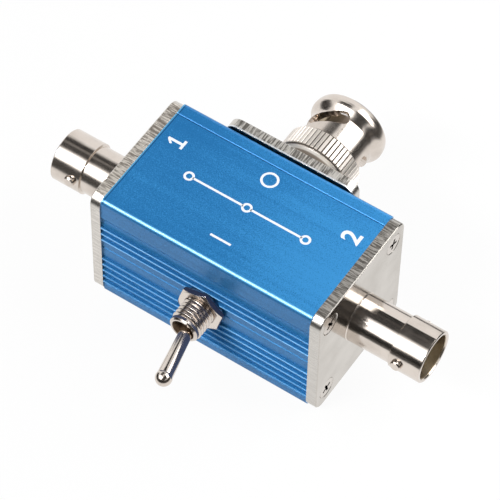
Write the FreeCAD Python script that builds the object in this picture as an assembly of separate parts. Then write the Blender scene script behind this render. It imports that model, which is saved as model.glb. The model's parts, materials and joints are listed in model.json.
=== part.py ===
"""Coaxial antenna changeover switch, built one separate body per node.

Frame: millimetres, +Z up.  +X runs along the box from the first socket to the
second, -Y is the toggle side, +Y is the plug side.  The origin is the centre
of the box's underside.
"""
import FreeCAD, Part
import math
import os

V = FreeCAD.Vector

# ---------------------------------------------------------------- box
box_length = 41.2        # both shell halves, between the end plates
box_height = 26.0        # underside to top face
band_width = 24.8        # over the smooth bands, front to back
rib_proud = 0.3          # rib tips stand this far outside the smooth band
wall = 1.8               # shell wall thickness
edge_round = 0.9         # long outer edges of the extrusion
seam_inset = 2.75        # seam on the top face, in from the back face
seam_gap = 0.1           # open gap left at the seam
seam_break = 0.12        # broken edges along the seam
lap_length = 1.2         # tongue under the seam
rib_base_inset = 0.15    # valleys between ribs, inside the smooth band
foot_slope = 0.15        # rise from the foot margin to the first valley
rib_tip_width = 0.15     # flat of a rib's tip, between its broken edges
rib_break = 0.13         # broken edges of a rib's tip
rib_root_width = 0.6
rib_pitch = 1.67
upper_rib_top = 18.65    # height of the highest rib
upper_rib_count = 3
lower_rib_top = 9.8
lower_rib_count = 5
centre_line_z = 12.85    # fine groove in the wide flat
flute_centre_z = 20.3    # hollow under the smooth band
flute_radius = 1.85
flute_depth = 0.35
band_foot = 1.0          # lower edge of the smooth band, below the hollow's middle
band_slope = 0.05
centre_groove = 0.2      # depth and half width of the fine groove
channel_slit = 0.7       # the screw channels are open inward by this much
margin_height = 2.3      # smooth margin at the foot of the ribbed face

# ---------------------------------------------------------------- plates
plate_thick = 2.0
plate_corner = 2.2
plate_edge_break = 0.15
screw_from_side = 3.2    # screw centres in from the plate's upright edges
screw_from_top = 3.5     # and in from its top and bottom edges
screw_radius = 1.0
screw_length = 6.0
screw_head_radius = 1.9
screw_fit = 0.02         # radial play of thread forms and pressed pieces
screw_hole_play = 0.1
screw_sunk = 0.05        # head below the plate's face
screw_point = 0.5
screw_head_rim = 0.1
boss_radius = 1.65
recess_width = 0.5
recess_reach = 1.1
recess_depth = 0.7

# ---------------------------------------------------------------- sockets
jack_rear_radius = 4.4
jack_front_radius = 4.8
jack_length = 14.3       # plate face to mouth
jack_front_length = 6.0
jack_bore_radius = 4.05
jack_bore_depth = 8.4
lug_radius = 1.0
lug_reach = 5.5          # lug tip from the axis
lug_from_mouth = 4.2
left_lug_turn = 10.0     # front lug stands this many degrees above level
right_lug_turn = 5.0
shank_radius = 3.5
shank_inside = 4.0       # threaded shank, inner plate face to its end
shank_bore_radius = 2.9
socket_sleeve_radius = 2.45
socket_sleeve_length = 5.6
contact_radius = 1.05
contact_bore_radius = 0.70
contact_bore_depth = 4.2
contact_slit = 0.25
cup_radius = 1.0
cup_length = 3.0
lock_washer_thick = 0.5
tag_thick = 0.4
tag_clear = 0.65         # tag's tip to the screw channels
nut_across = 9.0
nut_thick = 2.0
plate_hole_play = 0.05
thread_lead = 0.3        # chamfer on a shank's end
barrel_break = 0.15      # small chamfers on the barrel
barrel_foot = 0.15       # bevelled foot of the barrel on the plate
mouth_lead = 0.2
mouth_lead_length = 0.3
liner_length = 1.4       # bore that the insulator's nose passes through
lug_root = 0.35          # lug starts this far outside the bore
lug_break = 0.2
bush_tail = 0.8          # insulator's inner end, in from the shank's end
bush_tail_bore = 0.9
bush_break = 0.2
contact_set_back = 0.3   # contact behind the insulator's nose
contact_shaft_radius = 0.88
contact_drill_point = 0.4
contact_slit_end = 0.6   # slits stop this far before the bore's end
stop_radius = 1.6        # stop collar that keeps the contact in the bush
stop_back = 3.4
stop_thick = 1.2
cup_bore_radius = 0.6
cup_bore_depth = 1.8
cup_open = 1.4
cup_shift = 0.8          # solder cup starts this far inside the shank
cup_neck = 0.6
washer_radius = 4.6
washer_gap = 0.5
shank_play = 0.1         # washer and tag round the shank
tag_radius = 4.9
tag_width = 2.2
tag_hole_radius = 0.5
tag_hole_inset = 1.1

# ---------------------------------------------------------------- plug
collar_radius = 5.2
collar_length = 3.7
neck_radius = 4.0
sleeve_bore_radius = 3.45
sleeve_front = 16.7      # from the plate's outer face
sleeve_bore_depth = 7.2
sleeve_slit = 0.4
sleeve_slit_depth = 4.5
pin_radius = 0.675
pin_front = 14.9
pin_point = 1.0
pin_point_radius = 0.25
pin_shaft_radius = 0.6
pin_bush_radius = 0.95   # where the insulator holds it
pin_stop_radius = 1.4
pin_stop_back = 2.6
pin_stop_thick = 1.0
pin_cup_radius = 0.95
pin_cup_length = 1.6
pin_cup_bore = 0.55
pin_cup_open = 0.9
pin_cup_depth = 1.1
plug_liner_radius = 2.3
plug_liner_length = 1.2
plug_bush_front = 1.4    # insulator's face in front of the bore's floor
sleeve_break = 0.3
nut_rear = 4.5           # coupling nut's rear face from the plate's outer face
nut_length = 13.8
nut_rear_wall = 0.9
neck_play = 0.08
nut_bore_radius = 4.95
knurl_radius = 7.2
knurl_depth = 0.28
knurl_count = 56
knurl_groove = 0.3       # groove width at the surface
knurl_start = 0.85       # from the nut's rear face
knurl_length = 4.5
barrel_radius = 6.15
rim_radius = 7.25
rim_start = 9.9
rim_full = 12.1
rim_front_radius = 6.6
track_width = 2.4
track_floor = 5.75       # entry grooves under the rim reach this radius
entry_angle = 87.0       # entry groove of the first track, from +X towards +Z
track_sweep = 97.0
track_entry_y = 9.8      # middle of the track from the nut's rear face
track_end_y = 7.5
thrust_washer_thick = 0.35
ring_thick = 0.5
ring_radius = 4.65
ring_groove_radius = 3.6
ring_from_nut_rear = 2.9
gasket_thick = 0.8
gasket_radius = 4.6
gasket_from_nut_rear = 3.6
spring_thick = 0.2
spring_waves = 3
slide_travel = 1.0

# ---------------------------------------------------------------- toggle
bushing_radius = 2.95
bushing_front = 6.3      # mouth from the smooth band plane
mouth_radius = 2.4
mouth_chamfer = 0.3
neck_bore_radius = 1.6
ball_radius = 1.75
ball_play = 0.05
pivot_front = 3.0        # pivot from the smooth band plane
lever_tilt = 12.0        # each way from straight out
lever_base_radius = 1.08
lever_end_radius = 1.38
lever_ball_radius = 1.47
lever_ball_at = 12.9     # from the pivot
stub_radius = 1.05
stub_length = 4.5
stub_bore_radius = 0.72
stub_bore_from = 1.3
toggle_nut_across = 8.0
toggle_nut_thick = 1.3
panel_washer_thick = 0.4
frame_thick = 0.5
bushing_foot_radius = 3.4
case_length = 13.0       # along X
case_width = 7.8         # along Z
case_depth = 8.5
case_wall = 1.2
cavity_width = 3.8
cavity_depth = 6.5
terminal_clear = 0.2     # outer terminals from the case's end walls
terminal_thick = 0.8
terminal_width = 2.0
terminal_out = 4.0
rocker_thick = 0.4
rocker_clear = 0.4       # rocker's ends from the case's end walls
rocker_depth = 4.35      # under the frame
rocker_slope = 9.0
rocker_width = 2.6
plunger_nose_radius = 0.7
plunger_tip_clear = 0.25 # over the rocker when the lever is straight
stem_top = 3.3
stem_play = 0.07
plunger_shoulder_radius = 1.0
plunger_shoulder_thick = 0.9
coil_radius = 0.5
coil_wire_radius = 0.1
coil_turns = 4.5
coil_clear = 0.12
bushing_hole_play = 0.1
bushing_step_radius = 2.7
frame_hole_play = 0.05
foot_thick = 0.5
foot_bore_radius = 2.4
foot_play = 0.05
seat_back = 1.9
neck_length = 1.5        # pivot to the front of the neck
frame_tab_length = 6.0
frame_tab_width = 7.2
panel_washer_radius = 4.2
case_play = 0.02
terminal_hole_radius = 0.5
terminal_hole_inset = 1.0
terminal_gap = 0.15
saddle_play = 0.05       # rocker's saddle round the common terminal's head
plunger_gap = 0.8
wire_radius = 0.45
wire_solder = 0.02       # solder between a wire and the blade or tag beside it
wire_lap = 1.8           # how far a wire runs beside its terminal
wire_rise = 1.5          # straight run past the terminal's tip
wire_aside = 3.6
wire_lead = 2.8          # straight run in front of a solder cup
wire_in_cup = 0.9
bus_radius = 0.3
bus_lead = 3.6           # ground wire: straight run from an end tag
bus_turn = 6.2
bus_aside = 4.0
bus_hump = 0.3
bus_middle = 6.5         # half the straight run past the plug's tag

# ---------------------------------------------------------------- derived
half_length = box_length / 2
mid_z = box_height / 2
band_y = band_width / 2
rib_y = band_y + rib_proud
inner_y = band_y - wall
hole_radius = shank_radius + plate_hole_play
plate_width = 2 * rib_y       # plates reach the rib tips
plate_height = box_height
screw_y = plate_width / 2 - screw_from_side
screw_z = plate_height / 2 - screw_from_top
terminal_pitch = case_length / 2 - case_wall - terminal_thick / 2 - terminal_clear
rocker_reach = case_length / 2 - case_wall - rocker_clear
frame_top = -wall - panel_washer_thick   # outward from the band plane
frame_low = frame_top - frame_thick
rocker_x = frame_low - rocker_depth
plunger_tip_at = pivot_front - rocker_x - plunger_nose_radius - plunger_tip_clear
jack_floor = plate_thick + jack_length - jack_bore_depth
plug_floor = plate_thick + sleeve_front - sleeve_bore_depth
cup_end = -shank_inside - cup_length + cup_shift
tag_reach = screw_z - boss_radius - tag_clear


def turn(points, start=V(0, 0, 0), axis=V(1, 0, 0), out=V(0, 0, 1)):
    """Turn a closed profile of (distance along axis, radius) pairs.

    An entry ("arc", middle, end) is an arc through middle to end.
    """
    def place(pair):
        return start + axis * pair[0] + out * pair[1]

    edges = []
    here = place(points[0])
    for entry in points[1:] + points[:1]:
        if entry[0] == "arc":
            end = place(entry[2])
            edges.append(Part.Arc(here, place(entry[1]), end).toShape())
        else:
            end = place(entry)
            edges.append(Part.LineSegment(here, end).toShape())
        here = end
    return Part.Face(Part.Wire(edges)).revolve(start, axis, 360)


def bar(points, x0, x1):
    """Extrude a closed (y, z) outline along X."""
    corners = [V(x0, y, z) for y, z in points]
    return Part.Face(Part.makePolygon(corners + corners[:1])).extrude(V(x1 - x0, 0, 0))


def block(x0, x1, y0, y1, z0, z1):
    """A plain box between two opposite corners."""
    return Part.makeBox(x1 - x0, y1 - y0, z1 - z0, V(x0, y0, z0))


def rod(radius, start, end):
    """A round bar between two points."""
    reach = end - start
    return Part.makeCylinder(radius, reach.Length, start, reach)


def hexagon(across, x0, x1, bore):
    """A hexagon nut along X with turned corner chamfers."""
    corner = across / math.sqrt(3)
    ring = [V(x0, corner * math.cos(math.radians(60 * k + 16)),
              corner * math.sin(math.radians(60 * k + 16))) for k in range(6)]
    body = Part.Face(Part.makePolygon(ring + ring[:1])).extrude(V(x1 - x0, 0, 0))
    cut = corner - across / 2
    cone = turn([(x0, bore), (x0, across / 2), (x0 + cut * 0.6, corner + 0.01),
                 (x1 - cut * 0.6, corner + 0.01), (x1, across / 2), (x1, bore)])
    return body.common(cone)


def split_washer(inner, outer, x0, x1, gap):
    """A flat ring along X with one radial gap."""
    ring = turn([(x0, inner), (x1, inner), (x1, outer), (x0, outer)])
    return ring.cut(block(x0 - 1, x1 + 1, -gap / 2, gap / 2, 0, outer + 1))


def swept_wire(name, points, radius):
    """A round wire: straight runs joined by arcs, as wide as the shorter run allows."""
    corners = [V(*p) for p in points]
    edges = []
    here = corners[0]
    for before, corner, after in zip(corners, corners[1:], corners[2:]):
        to_way = (corner - before).normalize()
        off_way = (after - corner).normalize()
        bend = to_way.getAngle(off_way)
        reach = 0.45 * min((corner - before).Length, (after - corner).Length)
        start = corner - to_way * reach
        end = corner + off_way * reach
        turn_radius = reach / math.tan(bend / 2)
        inward = (off_way - to_way).normalize()
        middle = corner + inward * (turn_radius / math.cos(bend / 2) - turn_radius)
        edges.append(Part.LineSegment(here, start).toShape())
        edges.append(Part.Arc(start, middle, end).toShape())
        print("%-26s bend radius %.2f" % (name, turn_radius))
        here = end
    edges.append(Part.LineSegment(here, corners[-1]).toShape())
    path = Part.Wire(edges)
    ring = Part.Wire([Part.makeCircle(radius, corners[0], corners[1] - corners[0])])
    wire = path.makePipeShell([ring], True, False)
    print("%-26s length %.1f, section times length %.2f" %
          (name, path.Length, path.Length * math.pi * radius ** 2))
    save(name, wire)


def on_side(shape, side):
    """Carry a piece built on +X to the left end, right end or back of the box."""
    turned = {"right": 0, "left": 180, "back": 90}[side]
    reach = {"right": V(half_length, 0, mid_z), "left": V(-half_length, 0, mid_z),
             "back": V(0, rib_y, mid_z)}[side]
    moved = shape.copy()
    moved.rotate(V(0, 0, 0), V(0, 0, 1), turned)
    moved.translate(reach)
    return moved


def save(name, shape):
    """Write one node and report its volume."""
    shape.exportStep(os.path.join("parts", name + ".step"))
    print("%-26s solids %d  valid %s  volume %9.3f" %
          (name, len(shape.Solids), shape.isValid(), shape.Volume))


# ---------------------------------------------------------------- shells
def ribbed_side():
    """Outer (y, z) outline of the front wall, from the foot up to the top edge."""
    base = -(band_y - rib_base_inset)
    tip = -rib_y
    points = [(-band_y, 0.0), (-band_y, margin_height), (base, margin_height + foot_slope)]
    lower = [lower_rib_top - rib_pitch * k for k in range(lower_rib_count)]
    upper = [upper_rib_top - rib_pitch * k for k in range(upper_rib_count)]
    for height in sorted(lower):
        points += rib(height, base, tip)
    points += [(base, centre_line_z - centre_groove), (base + centre_groove, centre_line_z),
               (base, centre_line_z + centre_groove)]
    for height in sorted(upper):
        points += rib(height, base, tip)
    points += [(base, flute_centre_z - band_foot),
               (-band_y, flute_centre_z - band_foot + band_slope)]
    points += [(-band_y, box_height)]
    return points


def rib(height, base, tip):
    """Outline of one rib with broken edges at its tip, from below to above."""
    root = rib_root_width / 2
    flat = rib_tip_width / 2
    shoulder = flat + rib_break
    return [(base, height - root), (tip + rib_break, height - shoulder), (tip, height - flat),
            (tip, height + flat), (tip + rib_break, height + shoulder), (base, height + root)]


def make_upper_shell():
    """Top and front wall in one extrusion, with half-lap seams and screw channels."""
    seam = band_y - seam_inset
    lap = wall / 2
    outline = ribbed_side()
    outline += [(seam - seam_gap / 2 - seam_break, box_height),
                (seam - seam_gap / 2, box_height - seam_break),
                (seam - seam_gap / 2, box_height - lap + seam_gap / 2),
                (seam - lap_length, box_height - lap + seam_gap / 2),
                (seam - lap_length, box_height - wall),
                (-inner_y, box_height - wall), (-inner_y, wall),
                (-(seam - lap_length + seam_gap), wall),
                (-(seam - lap_length + seam_gap), lap + seam_gap / 2),
                (-(seam + seam_gap / 2), lap + seam_gap / 2),
                (-(seam + seam_gap / 2), seam_break),
                (-(seam + seam_gap / 2) - seam_break, 0.0)]
    shell = bar(outline, -half_length, half_length)
    flute_y = -(band_y + flute_radius - flute_depth)
    shell = shell.cut(rod(flute_radius, V(-half_length - 1, flute_y, flute_centre_z),
                          V(half_length + 1, flute_y, flute_centre_z)))
    long_edges = [e for e in shell.Edges
                  if e.Length > box_length - 0.01 and abs(e.Vertexes[0].Y + band_y) < 0.01
                  and (e.Vertexes[0].Z < 0.01 or e.Vertexes[0].Z > box_height - 0.01)]
    shell = shell.makeFillet(edge_round, long_edges)
    for way in (-1, 1):
        start = V(-half_length, -screw_y, mid_z + way * screw_z)
        shell = shell.fuse(rod(boss_radius, start, start + V(box_length, 0, 0)))
    for way in (-1, 1):
        z0 = mid_z + way * screw_z
        start = V(-half_length - 1, -screw_y, z0)
        end = start + V(box_length + 2, 0, 0)
        shell = shell.cut(rod(screw_radius + screw_fit, start, end))
        shell = shell.cut(block(start.x, end.x, -screw_y, -screw_y + boss_radius + 1,
                                z0 - channel_slit / 2, z0 + channel_slit / 2))
    return shell.removeSplitter()


def make_shells():
    """Two halves of the same extrusion; the second is turned half round about X."""
    upper = make_upper_shell()
    lower = upper.copy()
    lower.rotate(V(0, 0, mid_z), V(1, 0, 0), 180)
    upper = upper.cut(rod(bushing_radius + bushing_hole_play, V(0, -rib_y - 1, mid_z),
                          V(0, 0, mid_z)))
    lower = lower.cut(rod(hole_radius, V(0, 0, mid_z), V(0, band_y + 2, mid_z)))
    tip_y = rib_y + plate_thick - screw_length - 1
    for sx in (-1, 1):
        for sz in (-1, 1):
            start = V(sx * screw_y, tip_y, mid_z + sz * screw_z)
            end = V(sx * screw_y, rib_y + 1, mid_z + sz * screw_z)
            lower = lower.cut(rod(screw_radius + screw_fit, start, end))
    save("upper_shell", upper)
    save("lower_shell", lower)


# ---------------------------------------------------------------- plates
def screw_places():
    """The four screw centres of a plate, as (y, z) about the plate centre."""
    return [(sy * screw_y, sz * screw_z) for sy in (-1, 1) for sz in (-1, 1)]


def make_plate():
    """Square plate on +X: rounded corners, centre hole, countersunk corner holes."""
    plate = Part.makeBox(plate_thick, plate_width, plate_height,
                         V(0, -plate_width / 2, -plate_height / 2))
    corners = [e for e in plate.Edges
               if abs(e.Length - plate_thick) < 0.001 and abs(e.tangentAt(0).x) > 0.99]
    plate = plate.makeFillet(plate_corner, corners)
    outline = [e for e in plate.Edges if e.CenterOfMass.x > plate_thick - 0.001]
    plate = plate.makeChamfer(plate_edge_break, outline)
    plate = plate.cut(rod(hole_radius, V(-1, 0, 0), V(plate_thick + 1, 0, 0)))
    sink = screw_head_radius + screw_fit + screw_sunk + screw_head_rim
    hole = screw_radius + screw_hole_play
    for y, z in screw_places():
        plate = plate.cut(rod(hole, V(-1, y, z), V(plate_thick + 1, y, z)))
        depth = sink - hole
        plate = plate.cut(Part.makeCone(hole, sink + 0.5, depth + 0.5,
                                        V(plate_thick - depth, y, z), V(1, 0, 0)))
    return plate


def make_screw():
    """One countersunk cross-recess screw on +X, head flush at x = plate_thick."""
    head = screw_head_radius - screw_radius
    face = plate_thick - screw_sunk
    tip = plate_thick - screw_length
    rim = face - screw_head_rim
    body = turn([(tip, 0), (tip + screw_point, screw_radius), (rim - head, screw_radius),
                 (rim, screw_head_radius), (face, screw_head_radius), (face, 0)])
    for turned in (0, 90):
        slot = Part.makeBox(recess_depth + 1, recess_width, 2 * recess_reach,
                            V(face - recess_depth, -recess_width / 2, -recess_reach))
        slot.rotate(V(0, 0, 0), V(1, 0, 0), turned + 20)
        body = body.cut(slot)
    return body


def make_screw_set():
    """Four loose solids, one per corner."""
    screws = []
    for index, (y, z) in enumerate(screw_places()):
        one = make_screw()
        one.rotate(V(0, 0, 0), V(1, 0, 0), 17 * index)
        one.translate(V(0, y, z))
        screws.append(one)
    return Part.makeCompound(screws)


# ---------------------------------------------------------------- sockets
def make_jack_body():
    """Bayonet socket on +X: stepped barrel, two lugs, threaded shank through the plate."""
    face = plate_thick
    mouth = face + jack_length
    step = mouth - jack_front_length
    floor = jack_floor
    lip = barrel_break
    body = turn([(-shank_inside, shank_bore_radius),
                 (-shank_inside, shank_radius - thread_lead),
                 (-shank_inside + thread_lead, shank_radius), (face, shank_radius),
                 (face, jack_rear_radius + barrel_foot),
                 (face + barrel_foot, jack_rear_radius), (step, jack_rear_radius),
                 (step + lip, jack_front_radius), (mouth - lip, jack_front_radius),
                 (mouth, jack_front_radius - lip), (mouth, jack_bore_radius + mouth_lead),
                 (mouth - mouth_lead_length, jack_bore_radius), (floor, jack_bore_radius),
                 (floor, socket_sleeve_radius + screw_fit),
                 (floor - liner_length, socket_sleeve_radius + screw_fit),
                 (floor - liner_length, shank_bore_radius)])
    lug_x = mouth - lug_from_mouth
    for way in (-1, 1):
        start = V(lug_x, way * (jack_bore_radius + lug_root), 0)
        tip = V(lug_x, way * lug_reach, 0)
        lug = rod(lug_radius, start, tip)
        rounded = [e for e in lug.Edges if abs(abs(e.CenterOfMass.y) - lug_reach) < 0.01]
        body = body.fuse(lug.makeChamfer(lug_break, rounded))
    return body


def make_jack_insulator():
    """White plastic bush: thin nose in the bore, thick root held in the shank."""
    floor = jack_floor
    root = shank_bore_radius - screw_fit
    nose = floor + socket_sleeve_length
    hole = contact_radius + screw_fit
    tail = -shank_inside + bush_tail
    stop_front = floor - stop_back
    stop_rear = stop_front - stop_thick
    return turn([(tail, bush_tail_bore), (tail, root),
                 (floor - liner_length - screw_fit, root),
                 (floor - liner_length - screw_fit, socket_sleeve_radius),
                 (nose - bush_break, socket_sleeve_radius),
                 (nose, socket_sleeve_radius - bush_break), (nose, hole + bush_break),
                 (nose - bush_break, hole), (stop_front, hole),
                 (stop_front, stop_radius + screw_fit), (stop_rear, stop_radius + screw_fit),
                 (stop_rear, bush_tail_bore)])


def make_jack_contact():
    """Slit centre contact with a stop collar and a solder cup."""
    nose = jack_floor + socket_sleeve_length - contact_set_back
    stop_front = jack_floor - stop_back - screw_fit
    stop_rear = jack_floor - stop_back - stop_thick + screw_fit
    neck = -shank_inside + cup_neck
    bore_end = nose - contact_bore_depth
    body = turn([(cup_end, 0), (cup_end, cup_radius), (neck, cup_radius),
                 (neck, contact_shaft_radius), (stop_rear, contact_shaft_radius),
                 (stop_rear, stop_radius), (stop_front, stop_radius),
                 (stop_front, contact_radius), (nose - bush_break, contact_radius),
                 (nose, contact_radius - bush_break), (nose, contact_bore_radius),
                 (bore_end, contact_bore_radius), (bore_end - contact_drill_point, 0)])
    for turned in (0, 90):
        slit = block(bore_end + contact_slit_end, nose + 1, -contact_slit / 2,
                     contact_slit / 2, -2 * contact_radius, 2 * contact_radius)
        slit.rotate(V(0, 0, 0), V(1, 0, 0), turned + 45)
        body = body.cut(slit)
    body = body.cut(rod(cup_bore_radius, V(cup_end - 1, 0, 0), V(cup_end + cup_bore_depth, 0, 0)))
    return body.cut(block(cup_end - 1, cup_end + cup_open, -2 * cup_radius, 2 * cup_radius,
                          0, 2 * cup_radius))


def make_tag():
    """Solder tag: ring round the shank with one tab standing up."""
    x1 = -lock_washer_thick
    x0 = x1 - tag_thick
    ring = rod(tag_radius, V(x0, 0, 0), V(x1, 0, 0))
    ring = ring.fuse(block(x0, x1, -tag_width / 2, tag_width / 2, 0, tag_reach))
    ring = ring.cut(rod(shank_radius + shank_play, V(x0 - 1, 0, 0), V(x1 + 1, 0, 0)))
    hole_z = tag_reach - tag_hole_inset
    return ring.cut(rod(tag_hole_radius, V(x0 - 1, 0, hole_z), V(x1 + 1, 0, hole_z)))


def make_shank_washer():
    """Split lock washer against the plate or wall."""
    return split_washer(shank_radius + shank_play, washer_radius, -lock_washer_thick, 0,
                        washer_gap)


def make_shank_nut():
    """Hexagon nut behind the tag."""
    x1 = -lock_washer_thick - tag_thick
    return hexagon(nut_across, x1 - nut_thick, x1, shank_radius + screw_fit)


def make_sockets():
    """Both bayonet sockets with the pieces that hold and line them."""
    jack_body = make_jack_body()
    for side, turned in (("left", left_lug_turn), ("right", -right_lug_turn)):
        body = jack_body.copy()
        body.rotate(V(0, 0, 0), V(1, 0, 0), turned)
        save(side + "_jack_body", on_side(body, side))
        save(side + "_jack_insulator", on_side(make_jack_insulator(), side))
        save(side + "_jack_contact", on_side(make_jack_contact(), side))
        save(side + "_jack_lock_washer", on_side(make_shank_washer(), side))
        save(side + "_jack_tag", on_side(make_tag(), side))
        save(side + "_jack_nut", on_side(make_shank_nut(), side))
        save(side + "_end_plate", on_side(make_plate(), side))
        save(side + "_plate_screws", on_side(make_screw_set(), side))


# ---------------------------------------------------------------- plug
def back_inner():
    """Distance of the wall's inner face from the plate's inner face, on +X."""
    return inner_y - rib_y


def make_plug_body():
    """Plug body on +X: shank through plate and wall, collar, neck and slit sleeve."""
    face = plate_thick
    wall_face = back_inner()
    shank_end = wall_face - shank_inside
    neck = face + collar_length
    front = face + sleeve_front
    bore = plug_floor
    groove = face + nut_rear + ring_from_nut_rear
    groove_front = groove + ring_thick + 2 * screw_fit
    liner = bore - plug_liner_length
    body = turn([(shank_end, shank_bore_radius), (shank_end, shank_radius - thread_lead),
                 (shank_end + thread_lead, shank_radius), (face, shank_radius),
                 (face, collar_radius), (neck - sleeve_break, collar_radius),
                 (neck, collar_radius - sleeve_break), (neck, neck_radius),
                 (groove, neck_radius), (groove, ring_groove_radius),
                 (groove_front, ring_groove_radius), (groove_front, neck_radius),
                 (front - sleeve_break, neck_radius), (front, neck_radius - mouth_lead),
                 (front, sleeve_bore_radius), (bore, sleeve_bore_radius),
                 (bore, plug_liner_radius), (liner, plug_liner_radius),
                 (liner, shank_bore_radius)])
    for turned in (0, 90):
        slit = block(front - sleeve_slit_depth, front + 1, -sleeve_slit / 2,
                     sleeve_slit / 2, -2 * neck_radius, 2 * neck_radius)
        slit.rotate(V(0, 0, 0), V(1, 0, 0), turned + 45)
        body = body.cut(slit)
    return body


def make_plug_insulator():
    """White bush that carries the centre pin."""
    root = shank_bore_radius - screw_fit
    tail = back_inner() - shank_inside + bush_tail
    liner = plug_floor - plug_liner_length - screw_fit
    front = plug_floor + plug_bush_front
    stop_front = plug_floor - pin_stop_back
    stop_rear = stop_front - pin_stop_thick
    hole = pin_bush_radius + screw_fit
    return turn([(tail, pin_shaft_radius + screw_fit), (tail, root), (liner, root),
                 (liner, plug_liner_radius - screw_fit),
                 (front, plug_liner_radius - screw_fit), (front, hole), (stop_front, hole),
                 (stop_front, pin_stop_radius + screw_fit),
                 (stop_rear, pin_stop_radius + screw_fit),
                 (stop_rear, pin_shaft_radius + screw_fit)])


def make_plug_pin():
    """Centre pin with a stop collar and a solder cup."""
    front = plate_thick + pin_front
    end = back_inner() - shank_inside + bush_tail - 0.2 - pin_cup_length
    stop_front = plug_floor - pin_stop_back - screw_fit
    stop_rear = plug_floor - pin_stop_back - pin_stop_thick + screw_fit
    bush_front = plug_floor + plug_bush_front
    pin = turn([(end, 0), (end, pin_cup_radius), (end + pin_cup_length, pin_cup_radius),
                (end + pin_cup_length, pin_shaft_radius), (stop_rear, pin_shaft_radius),
                (stop_rear, pin_stop_radius), (stop_front, pin_stop_radius),
                (stop_front, pin_bush_radius), (bush_front, pin_bush_radius),
                (bush_front, pin_radius), (front - pin_point, pin_radius),
                (front, pin_point_radius), (front, 0)])
    pin = pin.cut(rod(pin_cup_bore, V(end - 1, 0, 0), V(end + pin_cup_depth, 0, 0)))
    return pin.cut(block(end - 1, end + pin_cup_open, -2 * pin_cup_radius,
                         2 * pin_cup_radius, 0, 2 * pin_cup_radius))


def track_points(steps):
    """Middle of a bayonet track as (distance from nut rear, degrees from entry).

    The cam is steep where the lug enters and level where the lug comes to rest.
    """
    rows = []
    for k in range(steps + 1):
        part = k / steps
        drawn = math.sin(math.pi / 2 * part)
        rows.append((track_entry_y + (track_end_y - track_entry_y) * drawn,
                     track_sweep * part))
    return rows


def track_cutter(angle, inner, outer):
    """Row of radial round cutters joined by straight webs along one track."""
    rear = plate_thick + nut_rear
    cutter = None
    rows = track_points(9)
    tips = []
    for along, turned in rows:
        way = math.radians(angle + turned)
        out = V(0, math.cos(way), math.sin(way))
        tips.append((V(rear + along, 0, 0), out))
    for centre, out in tips:
        one = rod(track_width / 2, centre + out * inner, centre + out * outer)
        cutter = one if cutter is None else cutter.fuse(one)
    for (c0, o0), (c1, o1) in zip(tips[:-1], tips[1:]):
        side = c1 - c0 + (o1 - o0) * ((inner + outer) / 2)
        out = (o0 + o1).normalize()
        across = out.cross(side).normalize()
        half = track_width / 2
        corners = []
        for sign, (centre, way) in ((1, (c0, o0)), (1, (c1, o1)),
                                    (-1, (c1, o1)), (-1, (c0, o0))):
            corners.append(centre + way * inner + across * half * sign)
        outer_corners = []
        for sign, (centre, way) in ((1, (c0, o0)), (1, (c1, o1)),
                                    (-1, (c1, o1)), (-1, (c0, o0))):
            outer_corners.append(centre + way * outer + across * half * sign)
        cutter = cutter.fuse(hull_of(corners, outer_corners))
    return cutter


def hull_of(low, high):
    """A closed solid between two four-cornered loops, in flat triangles."""
    faces = []
    for loop in (low, high):
        faces.append(Part.Face(Part.makePolygon([loop[0], loop[1], loop[2], loop[0]])))
        faces.append(Part.Face(Part.makePolygon([loop[0], loop[2], loop[3], loop[0]])))
    for k in range(4):
        m = (k + 1) % 4
        faces.append(Part.Face(Part.makePolygon([low[k], low[m], high[m], low[k]])))
        faces.append(Part.Face(Part.makePolygon([low[k], high[m], high[k], low[k]])))
    solid = Part.Solid(Part.Shell(faces))
    if solid.Volume < 0:
        solid.reverse()
    return solid


def knurled_band(x0, x1):
    """Straight knurl: flat lands between narrow grooves, with turned end chamfers."""
    points = []
    groove_half = knurl_groove / knurl_radius / 2
    for k in range(knurl_count):
        way = 2 * math.pi * k / knurl_count
        for turned, radius in ((-groove_half, knurl_radius), (0, knurl_radius - knurl_depth),
                               (groove_half, knurl_radius)):
            points.append((radius * math.cos(way + turned), radius * math.sin(way + turned)))
    star = bar(points, x0, x1)
    root = knurl_radius - knurl_depth
    ends = turn([(x0, 0), (x0, root - 0.15), (x0 + 0.35, knurl_radius + 0.05),
                 (x1 - 0.6, knurl_radius + 0.05), (x1, root - 0.3), (x1, 0)])
    return star.common(ends)


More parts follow.
